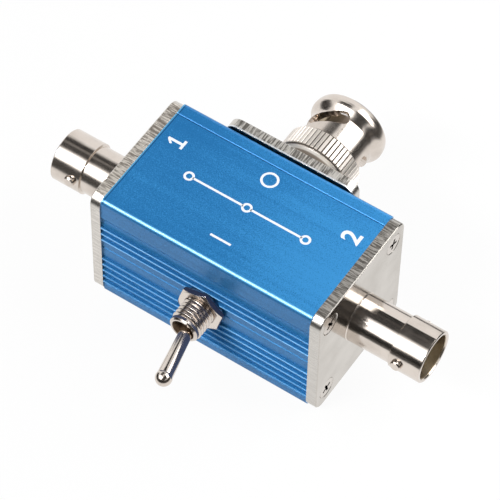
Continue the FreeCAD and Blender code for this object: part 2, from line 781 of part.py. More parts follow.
def make_coupling_nut():
    """Bayonet coupling: knurled grip, waisted barrel, flared rim and two cam tracks."""
    rear = plate_thick + nut_rear
    front = rear + nut_length
    grip = rear + knurl_start
    root = knurl_radius - knurl_depth
    profile = [(rear, nut_bore_radius - 1), (rear, root - 0.9), (grip, root - 0.1),
               (grip + knurl_length - 0.2, root - 0.1), (grip + knurl_length, barrel_radius),
               (rear + rim_start, barrel_radius)]
    for k in range(1, 8):
        part = k / 8
        lift = 0.5 - 0.5 * math.cos(math.pi * part)
        profile.append((rear + rim_start + (rim_full - rim_start) * part,
                        barrel_radius + (rim_radius - barrel_radius) * lift))
    profile.append((rear + rim_full, rim_radius))
    for k in range(1, 6):
        part = math.radians(90 * k / 6)
        profile.append((rear + rim_full + (nut_length - rim_full) * math.sin(part),
                        rim_front_radius + (rim_radius - rim_front_radius) * math.cos(part)))
    profile += [(front, rim_front_radius), (front, nut_bore_radius - 1)]
    body = turn(profile)
    body = body.fuse(knurled_band(grip, grip + knurl_length))
    body = body.cut(rod(nut_bore_radius, V(rear + nut_rear_wall, 0, 0), V(front + 1, 0, 0)))
    body = body.cut(rod(neck_radius + neck_play, V(rear - 1, 0, 0), V(front, 0, 0)))
    lead = Part.makeCone(nut_bore_radius, nut_bore_radius + 0.5, 0.5,
                         V(front - 0.4, 0, 0), V(1, 0, 0))
    body = body.cut(lead)
    for half in (0, 180):
        angle = 180 - entry_angle + half
        body = body.cut(track_cutter_signed(angle))
        way = math.radians(angle)
        groove = block(rear + track_entry_y, front + 1, 0, track_floor,
                       -track_width / 2, track_width / 2)
        groove.rotate(V(0, 0, 0), V(1, 0, 0), math.degrees(way))
        body = body.cut(groove)
    return body


def track_cutter_signed(angle):
    """Track cutter through the barrel wall only, starting at the entry angle."""
    cutter = track_cutter(0, nut_bore_radius - 0.4, knurl_radius + 0.3)
    mirror = cutter.mirror(V(0, 0, 0), V(0, 0, 1))
    mirror.rotate(V(0, 0, 0), V(1, 0, 0), angle)
    return mirror


def make_wave_spring(x0, x1):
    """Closed wave ring: four periodic curves joined by ruled faces."""
    inner = neck_radius + 0.2
    outer = nut_bore_radius - 0.2
    middle = (x0 + x1) / 2
    swing = (x1 - x0 - spring_thick) / 2
    loops = {}
    for name, radius, lift in (("a", inner, -1), ("b", outer, -1), ("c", outer, 1),
                               ("d", inner, 1)):
        points = []
        for k in range(48):
            way = 2 * math.pi * k / 48
            along = middle + swing * math.sin(spring_waves * way) + lift * spring_thick / 2
            points.append(V(along, radius * math.cos(way), radius * math.sin(way)))
        curve = Part.BSplineCurve()
        curve.interpolate(points, PeriodicFlag=True)
        loops[name] = curve.toShape()
    faces = [Part.makeRuledSurface(loops[p], loops[q])
             for p, q in (("a", "b"), ("b", "c"), ("c", "d"), ("d", "a"))]
    solid = Part.Solid(Part.Shell(faces))
    if solid.Volume < 0:
        solid.reverse()
    return solid


def make_plug():
    """The plug on the back wall, with its sprung bayonet coupling."""
    face = plate_thick
    rear = face + nut_rear
    wall_face = back_inner()
    save("plug_plate", on_side(make_plate(), "back"))
    save("plug_plate_screws", on_side(make_screw_set(), "back"))
    save("plug_body", on_side(make_plug_body(), "back"))
    save("plug_insulator", on_side(make_plug_insulator(), "back"))
    save("plug_pin", on_side(make_plug_pin(), "back"))
    washer_x = rear + nut_rear_wall + 0.05
    thrust = turn([(washer_x, neck_radius + neck_play),
                   (washer_x + thrust_washer_thick, neck_radius + neck_play),
                   (washer_x + thrust_washer_thick, nut_bore_radius - 0.1),
                   (washer_x, nut_bore_radius - 0.1)])
    save("plug_thrust_washer", on_side(thrust, "back"))
    ring_x = rear + ring_from_nut_rear
    spring = make_wave_spring(washer_x + thrust_washer_thick + 0.02, ring_x)
    save("plug_wave_spring", on_side(spring, "back"))
    ring = split_washer(ring_groove_radius + screw_fit, ring_radius, ring_x + 0.02,
                        ring_x + 0.02 + ring_thick, 1.4)
    save("plug_retaining_ring", on_side(ring, "back"))
    gasket_x = rear + gasket_from_nut_rear
    gasket = turn([(gasket_x, neck_radius + screw_fit),
                   (gasket_x + gasket_thick, neck_radius + screw_fit),
                   (gasket_x + gasket_thick, gasket_radius), (gasket_x, gasket_radius)])
    save("plug_gasket", on_side(gasket, "back"))
    save("coupling_nut", on_side(make_coupling_nut(), "back"))
    for name, piece in (("plug_lock_washer", make_shank_washer()), ("plug_tag", make_tag()),
                        ("plug_nut", make_shank_nut())):
        piece.translate(V(wall_face, 0, 0))
        save(name, on_side(piece, "back"))


# ---------------------------------------------------------------- toggle
def along_front(shape):
    """Carry a piece built on +X (x = distance out of the front) to the front wall."""
    moved = shape.copy()
    moved.rotate(V(0, 0, 0), V(0, 0, 1), -90)
    moved.translate(V(0, -band_y, mid_z))
    return moved


def along_lever(shape):
    """Carry a piece built on +X from the pivot outwards onto the tilted lever."""
    moved = shape.copy()
    moved.rotate(V(0, 0, 0), V(0, 0, 1), -90 + lever_tilt)
    moved.translate(V(0, -band_y - pivot_front, mid_z))
    return moved


def make_bushing():
    """Bushing with a flared mouth, a ball seat and a foot under the switch frame."""
    front = bushing_front
    foot = frame_low - foot_thick
    seat = ball_radius + ball_play
    rim = math.sqrt(seat ** 2 - neck_bore_radius ** 2)
    half_way = math.asin(rim / seat) / 2
    return turn([
        (foot, bushing_foot_radius), (frame_low, bushing_foot_radius),
        (frame_low, bushing_step_radius), (frame_top, bushing_step_radius),
        (frame_top, bushing_radius), (front - mouth_chamfer, bushing_radius),
        (front, bushing_radius - mouth_chamfer), (front, mouth_radius),
        (pivot_front + neck_length, neck_bore_radius), (pivot_front + rim, neck_bore_radius),
        ("arc", (pivot_front + seat * math.sin(half_way), seat * math.cos(half_way)),
         (pivot_front, seat)),
        (pivot_front - seat_back, seat + ball_play), (foot, foot_bore_radius)])


def make_lever():
    """Bat lever: hollow stub, ball, slightly widening shaft and a rounded bulb."""
    ball_rear = math.sqrt(ball_radius ** 2 - stub_radius ** 2)
    ball_front = math.sqrt(ball_radius ** 2 - lever_base_radius ** 2)
    bulb_rear = math.sqrt(lever_ball_radius ** 2 - lever_end_radius ** 2)
    side = lever_ball_radius * math.sqrt(0.5)
    return turn([
        (-stub_length, stub_bore_radius), (-stub_length, stub_radius),
        (-ball_rear, stub_radius), ("arc", (0, ball_radius), (ball_front, lever_base_radius)),
        (lever_ball_at - bulb_rear, lever_end_radius),
        ("arc", (lever_ball_at + side, side), (lever_ball_at + lever_ball_radius, 0)),
        (-stub_bore_from, 0), (-stub_bore_from, stub_bore_radius)])


def make_plunger():
    """Plastic plunger: stem in the stub, shoulder, nose with a round tip."""
    shoulder = -stub_length - plunger_gap
    under = shoulder - plunger_shoulder_thick
    stem = stub_bore_radius - stem_play
    nose = plunger_nose_radius
    points = [(-stem_top, 0), (-stem_top, stem), (shoulder, stem),
              (shoulder, plunger_shoulder_radius), (under, plunger_shoulder_radius),
              (under, nose), (-plunger_tip_at, nose)]
    for k in range(1, 7):
        way = math.pi / 2 * k / 6
        points.append((-plunger_tip_at - nose * math.sin(way),
                       max(nose * math.cos(way), 0)))
    return turn(points)


def make_plunger_spring():
    """Fine coil between the bottom of the stub bore and the plunger stem."""
    room = stem_top - stub_bore_from - 2 * coil_clear
    helix = Part.makeHelix(room / coil_turns, room, coil_radius)
    ring = Part.makeCircle(coil_wire_radius, V(coil_radius, 0, 0), V(0, 1, 0))
    wire = Part.Wire([ring])
    coil = Part.Wire(helix.Edges).makePipeShell([wire], True, True)
    coil.rotate(V(0, 0, 0), V(0, 1, 0), -90)
    coil.translate(V(-stub_bore_from - coil_clear, 0, 0))
    return coil


def make_toggle():
    """The miniature toggle switch, from the mouth of its bushing to its terminals."""
    save("toggle_bushing", along_front(make_bushing()))
    nut = hexagon(toggle_nut_across, rib_proud, rib_proud + toggle_nut_thick,
                  bushing_radius + screw_fit)
    save("toggle_nut", along_front(nut))
    washer = split_washer(bushing_radius + frame_hole_play, panel_washer_radius, frame_top,
                          -wall, washer_gap)
    save("toggle_lock_washer", along_front(washer))
    save("toggle_lever", along_lever(make_lever()))
    save("toggle_plunger", along_lever(make_plunger()))
    save("toggle_plunger_spring", along_lever(make_plunger_spring()))

    half_l = case_length / 2
    half_w = case_width / 2
    low = frame_low
    frame = block(low, frame_top, -half_l, half_l, -half_w - frame_thick,
                  half_w + frame_thick)
    for way in (-1, 1):
        z0, z1 = sorted((way * half_w, way * (half_w + frame_thick)))
        frame = frame.fuse(block(low - frame_tab_length, frame_top, -frame_tab_width / 2,
                                 frame_tab_width / 2, z0, z1))
    hole = bushing_step_radius + frame_hole_play
    frame = frame.cut(rod(hole, V(low - 1, 0, 0), V(frame_top + 1, 0, 0)))
    save("toggle_frame", along_front(frame))

    floor_top = low - cavity_depth
    case_low = low - case_depth
    case = block(case_low, low, -half_l, half_l, -half_w + case_play, half_w - case_play)
    case = case.cut(block(floor_top, low + 1, -half_l + case_wall, half_l - case_wall,
                          -cavity_width / 2, cavity_width / 2))
    seat = low - foot_thick - foot_play
    case = case.cut(rod(bushing_foot_radius + foot_play, V(seat, 0, 0), V(low + 1, 0, 0)))
    hold = terminal_thick / 2 + case_play
    reach = terminal_width / 2 + case_play
    for k in (-1, 0, 1):
        middle = k * terminal_pitch
        case = case.cut(block(case_low - 1, floor_top + 1, middle - hold, middle + hold,
                              -reach, reach))
    save("toggle_case", along_front(case))

    thick = rocker_thick
    rise = rocker_reach * math.tan(math.radians(rocker_slope))
    saddle = terminal_thick / 2 + saddle_play
    pivot_x = rocker_x - thick - saddle
    outline = [V(rocker_x, 0, 0), V(rocker_x + rise, rocker_reach, 0),
               V(rocker_x + rise - thick, rocker_reach, 0), V(rocker_x - thick, 0, 0),
               V(rocker_x + rise - thick, -rocker_reach, 0),
               V(rocker_x + rise, -rocker_reach, 0)]
    rocker = Part.Face(Part.makePolygon(outline + outline[:1])).extrude(V(0, 0, rocker_width))
    rocker.translate(V(0, 0, -rocker_width / 2))
    low_end = V(pivot_x, 0, -rocker_width / 2)
    rocker = rocker.fuse(Part.makeCylinder(saddle + thick, rocker_width, low_end))
    below = pivot_x - saddle - thick - 1
    rocker = rocker.cut(block(below, pivot_x, -2, 2, -rocker_width, rocker_width))
    hollow = Part.makeCylinder(saddle, rocker_width + 2, low_end - V(0, 0, 1))
    rocker = rocker.cut(hollow).removeSplitter()
    rocker.rotate(V(pivot_x, 0, 0), V(0, 0, 1), -rocker_slope)
    save("toggle_rocker", along_front(rocker))

    tip = case_low - terminal_out
    half_t = terminal_thick / 2
    half_b = terminal_width / 2
    outer_head = rocker_x - thick - terminal_gap
    for k, name, head in ((-1, "left", outer_head), (0, "common", pivot_x),
                          (1, "right", outer_head)):
        middle = k * terminal_pitch
        blade = block(tip, head, middle - half_t, middle + half_t, -half_b, half_b)
        if name == "common":
            round_head = Part.makeCylinder(half_t, terminal_width, V(head, middle, -half_b))
            blade = blade.fuse(round_head).removeSplitter()
        hole_x = tip + terminal_hole_inset
        blade = blade.cut(rod(terminal_hole_radius, V(hole_x, middle - terminal_thick, 0),
                              V(hole_x, middle + terminal_thick, 0)))
        save("terminal_" + name, along_front(blade))


def make_wires():
    """Hook-up wires between the terminals, the sockets, the plug and the tags."""
    tip_y = -band_y + wall + panel_washer_thick + frame_thick + case_depth + terminal_out
    beside = terminal_thick / 2 + wire_radius + wire_solder
    cup_mouth = half_length + cup_end
    for way, name in ((-1, "left"), (1, "right")):
        x0 = way * (terminal_pitch + beside)
        swept_wire("wire_" + name,
                   [(x0, tip_y - wire_lap, mid_z), (x0, tip_y + wire_rise, mid_z),
                    (x0 + way * wire_aside, tip_y + wire_rise + 0.4, mid_z + 0.7),
                    (way * (cup_mouth - wire_lead), 0.0, mid_z),
                    (way * (cup_mouth + wire_in_cup), 0.0, mid_z)], wire_radius)
    plug_cup = inner_y - shank_inside + bush_tail - 0.2 - pin_cup_length
    swept_wire("wire_common",
               [(beside, tip_y - wire_lap, mid_z), (beside, tip_y + 0.6, mid_z),
                (0.0, plug_cup - 1.1, mid_z), (0.0, plug_cup + wire_in_cup, mid_z)], wire_radius)
    tag_z = mid_z + tag_reach - tag_hole_inset
    tag_x = half_length - lock_washer_thick / 2
    tag_y = inner_y - lock_washer_thick - tag_thick - bus_radius - wire_solder
    left_half = [(-tag_x, 0.0, tag_z), (-tag_x + bus_lead, 0.0, tag_z),
                 (-tag_x + bus_turn, bus_aside, tag_z + bus_hump), (-bus_middle, tag_y, tag_z)]
    right_half = [(-x, y, z) for x, y, z in reversed(left_half)]
    swept_wire("ground_wire", left_half + right_half, bus_radius)


if __name__ == "__main__":
    os.makedirs("parts", exist_ok=True)
    make_shells()
    make_sockets()
    make_plug()
    make_toggle()
    make_wires()
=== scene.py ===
# %% [markdown]
# # A coaxial antenna switch, dressed for the studio
#
# The solids of this little box are packed already: two blue extrusions, three square plates,
# bayonet sockets at the ends, a bayonet plug at the back and a bat toggle in front. Here they
# get their finishes. What a solid leaves plain, such as the screw thread of the toggle's
# bushing and the white print on the lid, is modelled here. The frame loads first, because
# every size below is worked out from it.

import json
import math

import bmesh
import bpy
from mathutils import Matrix, Vector

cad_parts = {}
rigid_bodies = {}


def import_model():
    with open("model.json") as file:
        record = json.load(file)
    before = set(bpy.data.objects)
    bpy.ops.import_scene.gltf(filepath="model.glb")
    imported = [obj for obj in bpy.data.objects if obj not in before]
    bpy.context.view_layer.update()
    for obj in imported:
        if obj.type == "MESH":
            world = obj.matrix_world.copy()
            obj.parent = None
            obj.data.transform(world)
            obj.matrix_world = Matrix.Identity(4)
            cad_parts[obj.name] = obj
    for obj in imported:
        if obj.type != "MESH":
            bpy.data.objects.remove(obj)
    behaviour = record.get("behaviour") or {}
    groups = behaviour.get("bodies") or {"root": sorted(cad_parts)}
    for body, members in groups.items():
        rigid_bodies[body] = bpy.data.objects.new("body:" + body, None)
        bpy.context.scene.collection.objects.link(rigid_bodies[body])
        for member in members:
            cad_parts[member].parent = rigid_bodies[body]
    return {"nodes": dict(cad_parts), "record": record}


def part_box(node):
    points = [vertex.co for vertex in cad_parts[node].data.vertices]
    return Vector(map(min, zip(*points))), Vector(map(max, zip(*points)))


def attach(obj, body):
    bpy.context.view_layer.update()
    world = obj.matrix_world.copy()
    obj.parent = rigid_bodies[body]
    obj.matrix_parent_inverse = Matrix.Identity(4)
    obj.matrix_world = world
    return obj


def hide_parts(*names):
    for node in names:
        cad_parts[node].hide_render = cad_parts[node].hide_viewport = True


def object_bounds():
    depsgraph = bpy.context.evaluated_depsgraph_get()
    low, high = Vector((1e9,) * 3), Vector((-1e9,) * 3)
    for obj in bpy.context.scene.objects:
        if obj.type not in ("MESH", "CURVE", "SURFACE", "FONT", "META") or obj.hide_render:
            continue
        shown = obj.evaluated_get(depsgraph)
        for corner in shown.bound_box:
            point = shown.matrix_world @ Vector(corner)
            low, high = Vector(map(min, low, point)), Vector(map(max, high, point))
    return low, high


for leftover in list(bpy.data.objects):
    bpy.data.objects.remove(leftover)
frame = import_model()
cad_low, cad_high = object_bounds()
mm = 0.001
print("solids:", len(frame["nodes"]), "size in mm:", [round(s / mm, 1) for s in cad_high - cad_low])

# %% [markdown]
# ## Where things are
#
# A handful of planes carries everything that is added later: the lid's top, the box's front
# and back walls, the height of the connector axes. They could be typed in as numbers, but they
# are read from the solids' boxes, so that a changed solid moves the dressing with it.

# %% Planes and axes that the dressing hangs on
shell_low, shell_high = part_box("upper_shell")
lid_z = shell_high.z
front_y = shell_low.y
back_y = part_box("lower_shell")[1].y
half_length = shell_high.x
axis_z = (cad_low.z + lid_z) / 2
print("lid at", round(lid_z / mm, 2), "axes at", round(axis_z / mm, 2), "mm")

# %% [markdown]
# ## The camera
#
# A long lens from half a metre keeps the box's parallel edges nearly parallel, as a small
# product is usually shown. It stands to the right of the front and well above it, so that the
# lid, the ribbed wall with its toggle, and the right end plate are all in view. An empty and a
# tracking constraint could aim it, but three plain angles in degrees say the same.

# %% Camera
camera_data = bpy.data.cameras.new("camera")
camera_data.lens = 218.17
camera_data.sensor_width = 36.0
camera_data.clip_start = 0.01
camera_data.clip_end = 20.0
camera = bpy.data.objects.new("camera", camera_data)
camera.location = (0.1573, -0.243781, 0.427959)
camera.rotation_euler = [math.radians(turn) for turn in (35.0176, -0.7291, 33.7414)]
bpy.context.scene.collection.objects.link(camera)
bpy.context.scene.camera = camera
bpy.context.scene.view_settings.view_transform = "Standard"
print("camera distance", round(camera.location.length, 3), "m")

# %% [markdown]
# ## Writing finishes as sums
#
# A finish is a network of nodes, but it is easier to read as arithmetic. `Amount` wraps one
# socket, so `1 - mask` or `grain * 0.2 + 0.4` adds the Math nodes that say so.

# %% Amount: a socket that takes part in arithmetic
class Amount:
    """One socket of a tree of nodes that takes part in arithmetic."""

    def __init__(self, tree, socket):
        self.tree = tree
        self.socket = socket

    def __add__(self, other):
        return self.tree.math("ADD", self, other)

    def __sub__(self, other):
        return self.tree.math("SUBTRACT", self, other)

    def __rsub__(self, other):
        return self.tree.math("SUBTRACT", other, self)

    def __mul__(self, other):
        return self.tree.math("MULTIPLY", self, other)

    def __truediv__(self, other):
        return self.tree.math("DIVIDE", self, other)

    def __rtruediv__(self, other):
        return self.tree.math("DIVIDE", other, self)

    def __pow__(self, other):
        return self.tree.math("POWER", self, other)

    def __rpow__(self, other):
        return self.tree.math("POWER", other, self)

    def __abs__(self):
        return self.tree.math("ABSOLUTE", self)

    __radd__ = __add__
    __rmul__ = __mul__


print("amounts add, subtract, multiply, divide, and take powers")

# %% [markdown]
# `Tree` holds the nodes. Its `node` method adds any node from its type, its settings and its
# sockets, and the other methods are short names for the few nodes that every finish needs.
# Colours are blended by Mix nodes, because a Math node would turn them grey. The sky is such
# a tree too, so what only a material needs comes in the next cell.

# %% Tree: nodes under construction
class Tree:
    """Nodes under construction; a class below says whose nodes they are."""

    def feed(self, socket, value):
        """Link an amount, or set a plain value; a colour of three numbers is opaque."""
        if isinstance(value, Amount):
            self.nodes_of.links.new(value.socket, socket)
        elif socket.type == "RGBA":
            socket.default_value = (*value, 1.0)
        else:
            socket.default_value = value

    def node(self, kind, settings=None, sockets=None, output=0):
        made = self.nodes_of.nodes.new(kind)
        for key, value in (settings or {}).items():
            setattr(made, key, value)
        for key, value in (sockets or {}).items():
            self.feed(made.inputs[key], value)
        return Amount(self, made.outputs[output])

    def math(self, operation, first, second=0.0):
        return self.node("ShaderNodeMath", {"operation": operation}, {0: first, 1: second})

    def blend(self, share, first, second):
        """A colour between two; 6, 7 and output 2 are the Mix node's colour sockets."""
        return self.node("ShaderNodeMix", {"data_type": "RGBA"}, {0: share, 6: first, 7: second}, 2)

    def ramp(self, value, low, high):
        """0 below low, 1 above high, smooth between."""
        return self.node("ShaderNodeMapRange", {"interpolation_type": "SMOOTHSTEP"},
                         {"Value": value, "From Min": low, "From Max": high})

    def between(self, value, rise, fall):
        """1 between two soft edges; rise and fall are each (from, to)."""
        return self.ramp(value, *rise) * (1 - self.ramp(value, *fall))

    def parts_of(self, vector):
        """The three numbers of a vector."""
        split = self.node("ShaderNodeSeparateXYZ", None, {0: vector}).socket.node
        return [Amount(self, output) for output in split.outputs]


print("trees can blend, ramp and split")

# %% [markdown]
# `Finish` owns one material. It knows where a point lies on its piece, in metres, and where
# the surface faces, so that a mask can be written as a place. Its noises have a scale in
# features to the metre, and its reliefs a depth in metres.

# %% Finish: a material under construction
class Finish(Tree):
    """The tree of one material, ending in its Principled shader."""

    def __init__(self, name):
        self.material = bpy.data.materials.new(name)
        self.material.use_nodes = True
        self.nodes_of = self.material.node_tree
        self.shader = self.nodes_of.nodes["Principled BSDF"]

    def place(self, stretch=(1, 1, 1)):
        """The point on the piece in metres, scaled along each axis."""
        here = self.node("ShaderNodeTexCoord", output="Object")
        return self.node("ShaderNodeVectorMath", {"operation": "MULTIPLY"}, {0: here, 1: stretch})

    def noise(self, scale, detail=2.0, stretch=(1, 1, 1), roughness=0.5):
        """Soft noise with about this many features in a metre."""
        return self.node("ShaderNodeTexNoise", None,
                         {"Vector": self.place(stretch), "Scale": scale, "Detail": detail,
                          "Roughness": roughness})

    def facing(self):
        """The three parts of the surface's own normal."""
        return self.parts_of(self.node("ShaderNodeTexCoord", output="Normal"))

    def soft_edge(self, radius):
        """A normal that rounds sharp edges by this radius."""
        return self.node("ShaderNodeBevel", {"samples": 4}, {"Radius": radius})

    def relief(self, height, depth, strength=1.0, over=None):
        """A bump of this depth in metres; over is the normal that it starts from."""
        sockets = {"Height": height, "Distance": depth, "Strength": strength}
        if over is not None:
            sockets["Normal"] = over
        return self.node("ShaderNodeBump", None, sockets)

    def surface(self, **sockets):
        """Set the shader's own sockets, named in lower case with underscores."""
        for key, value in sockets.items():
            self.feed(self.shader.inputs[key.replace("_", " ").title().replace("Ior", "IOR")], value)
        return self.material


print("finishes can tell places and slopes apart")

# %% [markdown]
# ## Anodised aluminium
#
# The shells are extruded, blasted to a fine even grain and dyed in the anodising bath. The
# oxide is clear over the dye, so the colour reads almost like paint, with a soft tinted sheen
# on the long rounded edge. One blue under a gloss would look like plastic. So a deep and a
# light blue are blended, and three noises choose between them: specks a fifth of a millimetre
# wide, long marks that the die drew along the extrusion, and a slow drift of the dye.

# %% Grain of the dyed oxide
specks_in_metre = 5200
die_marks_in_metre = 900
drifts_in_metre = 45
along_the_extrusion = (0.02, 1, 1)


def dyed_grain(f):
    """The specks alone, and the specks with die marks and drift."""
    specks = f.noise(specks_in_metre)
    drift = f.noise(drifts_in_metre, detail=1.0)
    die_marks = f.noise(die_marks_in_metre, stretch=along_the_extrusion)
    return specks, specks * 0.8 + die_marks * 0.25 + drift * 0.3


print("a speck is about", round(1 / specks_in_metre / mm, 2), "mm")

# %% [markdown]
# ## Where the blue changes
#
# The same dye doesn't look the same all over. The ribbed walls are painted darker than the lid,
# as painted shade, and the upward slopes of their rib tips carry painted highlights in patches.
# The long front edge carries a pale painted sheen. At the left end, where the lid meets its
# plate, a dark line of painted shadow lies beside a pale line of painted highlight. Each could
# be a material of its own on its own faces, but the solids aren't split there. So they are
# masks from 0 to 1, worked out from the place on the shell and where it faces.

# %% Masks on the shells
band_deep = 1.2 * mm
band_fade = 0.6 * mm
# Patches of the painted highlight on the rib tips.
highlight_patches_in_metre = 420
highlight_patch_stretch = (0.06, 1, 1)
wall_slope = (0.75, 0.98)
tip_slope = (0.35, 0.60)
tip_fade = (0.05 * mm, 0.08 * mm)
rounded_edge = ((0.45, 0.70), (0.90, 0.985))
front_fade = (-1.0 * mm, 1.0 * mm)
joint_shadow_edges = ((0.24 * mm, 0.30 * mm), (0.42 * mm, 0.52 * mm))
end_edge_highlight_fade = (0.20 * mm, 0.28 * mm)


def shell_masks(f):
    x, y, z = f.parts_of(f.place())
    normal = f.facing()
    outward, upward = abs(normal[1]), abs(normal[2])
    under_lid = f.ramp(lid_z - z, band_deep, band_deep + band_fade)
    ribbed = under_lid * f.ramp(z, band_deep, band_deep + band_fade)
    # The walls: where the blue is painted darker than the lid, as painted shade.
    wall = f.math("MAXIMUM", f.ramp(outward, *wall_slope), ribbed * 0.75)
    tip = 1 - f.ramp(f.math("MINIMUM", y - front_y, back_y - y), *tip_fade)
    patches = f.noise(highlight_patches_in_metre, detail=1.0, stretch=highlight_patch_stretch)
    # Painted highlight on the upward slopes of the rib tips, in patches.
    rib_tip_highlight = f.ramp(upward, *tip_slope) * tip * ribbed * (f.ramp(patches, 0.30, 0.60) * 0.55 + 0.25)
    front_half = 1 - f.ramp(y, *front_fade)
    # Painted sheen on the long rounded front edge.
    front_edge_sheen = f.between(upward, *rounded_edge) * (1 - ribbed) * front_half
    from_end = x + half_length
    # Painted shadow: a dark line near the left end, where the lid meets its plate.
    joint = f.between(from_end, *joint_shadow_edges)
    # Painted highlight: a pale line at the very left end of the lid.
    end_edge_highlight = 1 - f.ramp(from_end, *end_edge_highlight_fade)
    return {"along": x / half_length, "wall": wall, "rib_tip_highlight": rib_tip_highlight, "front_edge_sheen": front_edge_sheen,
            "joint": joint, "end_edge_highlight": end_edge_highlight}


print("smooth band:", round(band_deep / mm, 2), "mm deep under the lid")

# %% [markdown]
# The masks then choose between named blues. A little metal under a gloss gives the oxide its
# depth. The relief is shallow, less than a fiftieth of a millimetre, and the specular level is
# low, because a blasted surface holds no sharp highlight.

# %% Blue anodised finish
lid_deep = (0.022, 0.205, 0.520)
lid_light = (0.056, 0.355, 0.790)
# Painted sheen on the long front edge.
front_edge_sheen_blue = (0.260, 0.600, 0.880)
# Painted shadow in the joint at the left end.
joint_shadow_blue = (0.010, 0.085, 0.230)
# Painted highlight at the left end.
end_edge_highlight_blue = (0.130, 0.480, 0.800)
# Painted shade: the walls' blues, darker than the lid's.
shaded_wall_deep = (0.009, 0.118, 0.300)
shaded_wall_light = (0.030, 0.192, 0.450)
# Painted highlight on the rib tips.
rib_tip_highlight_blue = (0.340, 0.620, 0.880)
speck_deep = 0.018 * mm
shell_edge = 0.03 * mm


def make_anodised():
    f = Finish("anodised_azure")
    specks, grain = dyed_grain(f)
    at = shell_masks(f)
    # The lid's blue, painted lighter towards its right end as a painted gradient of light.
    lid = f.blend(f.ramp(grain + at["along"] * 0.13, 0.48, 0.88), lid_deep, lid_light)
    # Painted sheen on the long front edge.
    lid = f.blend(at["front_edge_sheen"] * 0.6, lid, front_edge_sheen_blue)
    # Painted shadow in the joint at the left end.
    lid = f.blend(at["joint"] * 0.85, lid, joint_shadow_blue)
    # Painted highlight at the left end.
    lid = f.blend(at["end_edge_highlight"] * 0.85, lid, end_edge_highlight_blue)
    # The walls in painted shade, a little darker towards the right end as a painted gradient of light.
    wall = f.blend(f.ramp(grain - at["along"] * 0.06, 0.48, 0.88), shaded_wall_deep, shaded_wall_light)
    # Painted highlights on the rib tips.
    wall = f.blend(at["rib_tip_highlight"], wall, rib_tip_highlight_blue)
    return f.surface(base_color=f.blend(at["wall"], lid, wall), metallic=0.36,
                     roughness=specks * 0.12 + 0.24, coat_weight=0.34 - at["wall"] * 0.30,
                     coat_roughness=0.17, specular_ior_level=0.30,
                     normal=f.relief(specks, speck_deep, 0.7, f.soft_edge(shell_edge)))


anodised = make_anodised()
print("finish:", anodised.name, "with", len(anodised.node_tree.nodes), "nodes")

# %% [markdown]
# ## Turned nickel
#
# Everything bright on this object is nickel over brass or zinc, and the warm cast is nickel's
# own. Turned pieces come smooth off the lathe, so their plating mirrors the room in sharp
# streaks. Buffing leaves them a hair out of round, and a relief of a few hundredths of a
# millimetre makes those streaks waver as they do on real barrels. Inside a bore the colour is
# darkened as painted shade and the gloss is duller. The coupling's knurl has painted shade in
# its roots and painted highlight on its crests, with a painted highlight on the bevel behind
# it, round a face in painted shade. One function makes them all: a bore and a knurl are found
# by their distance from the axis, so no face has to be picked. The plug's body gets the
# painted shade of its neck, where the coupling shades it, from the same rule as a bore.

# %% Colours of nickel
nickel_bright = (0.740, 0.668, 0.605)
nickel_wiped = (0.640, 0.572, 0.512)
# Painted shade inside bores, and on the plug's collar and neck.
bore_shade = (0.46, 0.38, 0.27)
bushing_bore_shade = (0.15, 0.105, 0.07)
collar_shade = (0.34, 0.295, 0.255)
# Painted highlight on the knurl's crests and on the rear bevel, painted shade in its roots.
knurl_crest_highlight = (0.860, 0.800, 0.740)
knurl_root_shade = (0.10, 0.088, 0.076)
rear_bevel_highlight = (0.95, 0.93, 0.90)
print("nickel is warm: red over blue is", round(nickel_bright[0] / nickel_bright[2], 2))

# %% Bore and knurl
knurl_root = 6.95 * mm
knurl_deep = 0.20 * mm
knurl_start = 0.85 * mm
knurl_length = 4.5 * mm
knurl_edge = 0.1 * mm
bevel_radius = 6.25 * mm
bevel_fade = 0.20 * mm
bore_fade_from = 0.02 * mm
bore_fade_to = 0.12 * mm


def shaded_bore(f, colour, gloss, off_axis, bore, inside_shade):
    """Painted shade inside this radius: a darker colour, and duller gloss."""
    inside = 1 - f.ramp(off_axis, bore + bore_fade_from, bore + bore_fade_to)
    return f.blend(inside, colour, inside_shade), gloss + inside * 0.25


def knurled_grip(f, colour, gloss, off_axis, start):
    """From start on, painted highlight on the crests and painted shade in the roots; before it, painted
    highlight on the bevel and painted shade on the face inside it.
    """
    y = f.parts_of(f.place())[1]
    end = start + knurl_length
    knurled = f.between(y, (start, start + knurl_edge), (end - knurl_edge, end))
    crest = f.ramp(off_axis, knurl_root, knurl_root + knurl_deep)
    # Painted highlight on the crests, painted shade in the roots.
    colour = f.blend(knurled, colour, f.blend(crest, knurl_root_shade, knurl_crest_highlight))
    behind = 1 - f.ramp(y, start - knurl_edge, start)
    outer = f.ramp(off_axis, bevel_radius, bevel_radius + bevel_fade)
    # Behind the knurl: painted highlight on the bevel, painted shade on the face.
    colour = f.blend(behind, colour, f.blend(outer, collar_shade, rear_bevel_highlight))
    return colour, gloss + knurled * 0.20 + behind * 0.25


print("knurl stands", round(knurl_deep / mm, 2), "mm over its roots")

# %% Turned nickel
wipes_in_metre = 260
haze_in_metre = 2600
haze_deep = 0.002 * mm
buffing_waves_in_metre = 230
buffing_deep = 0.06 * mm
turned_edge = 0.06 * mm


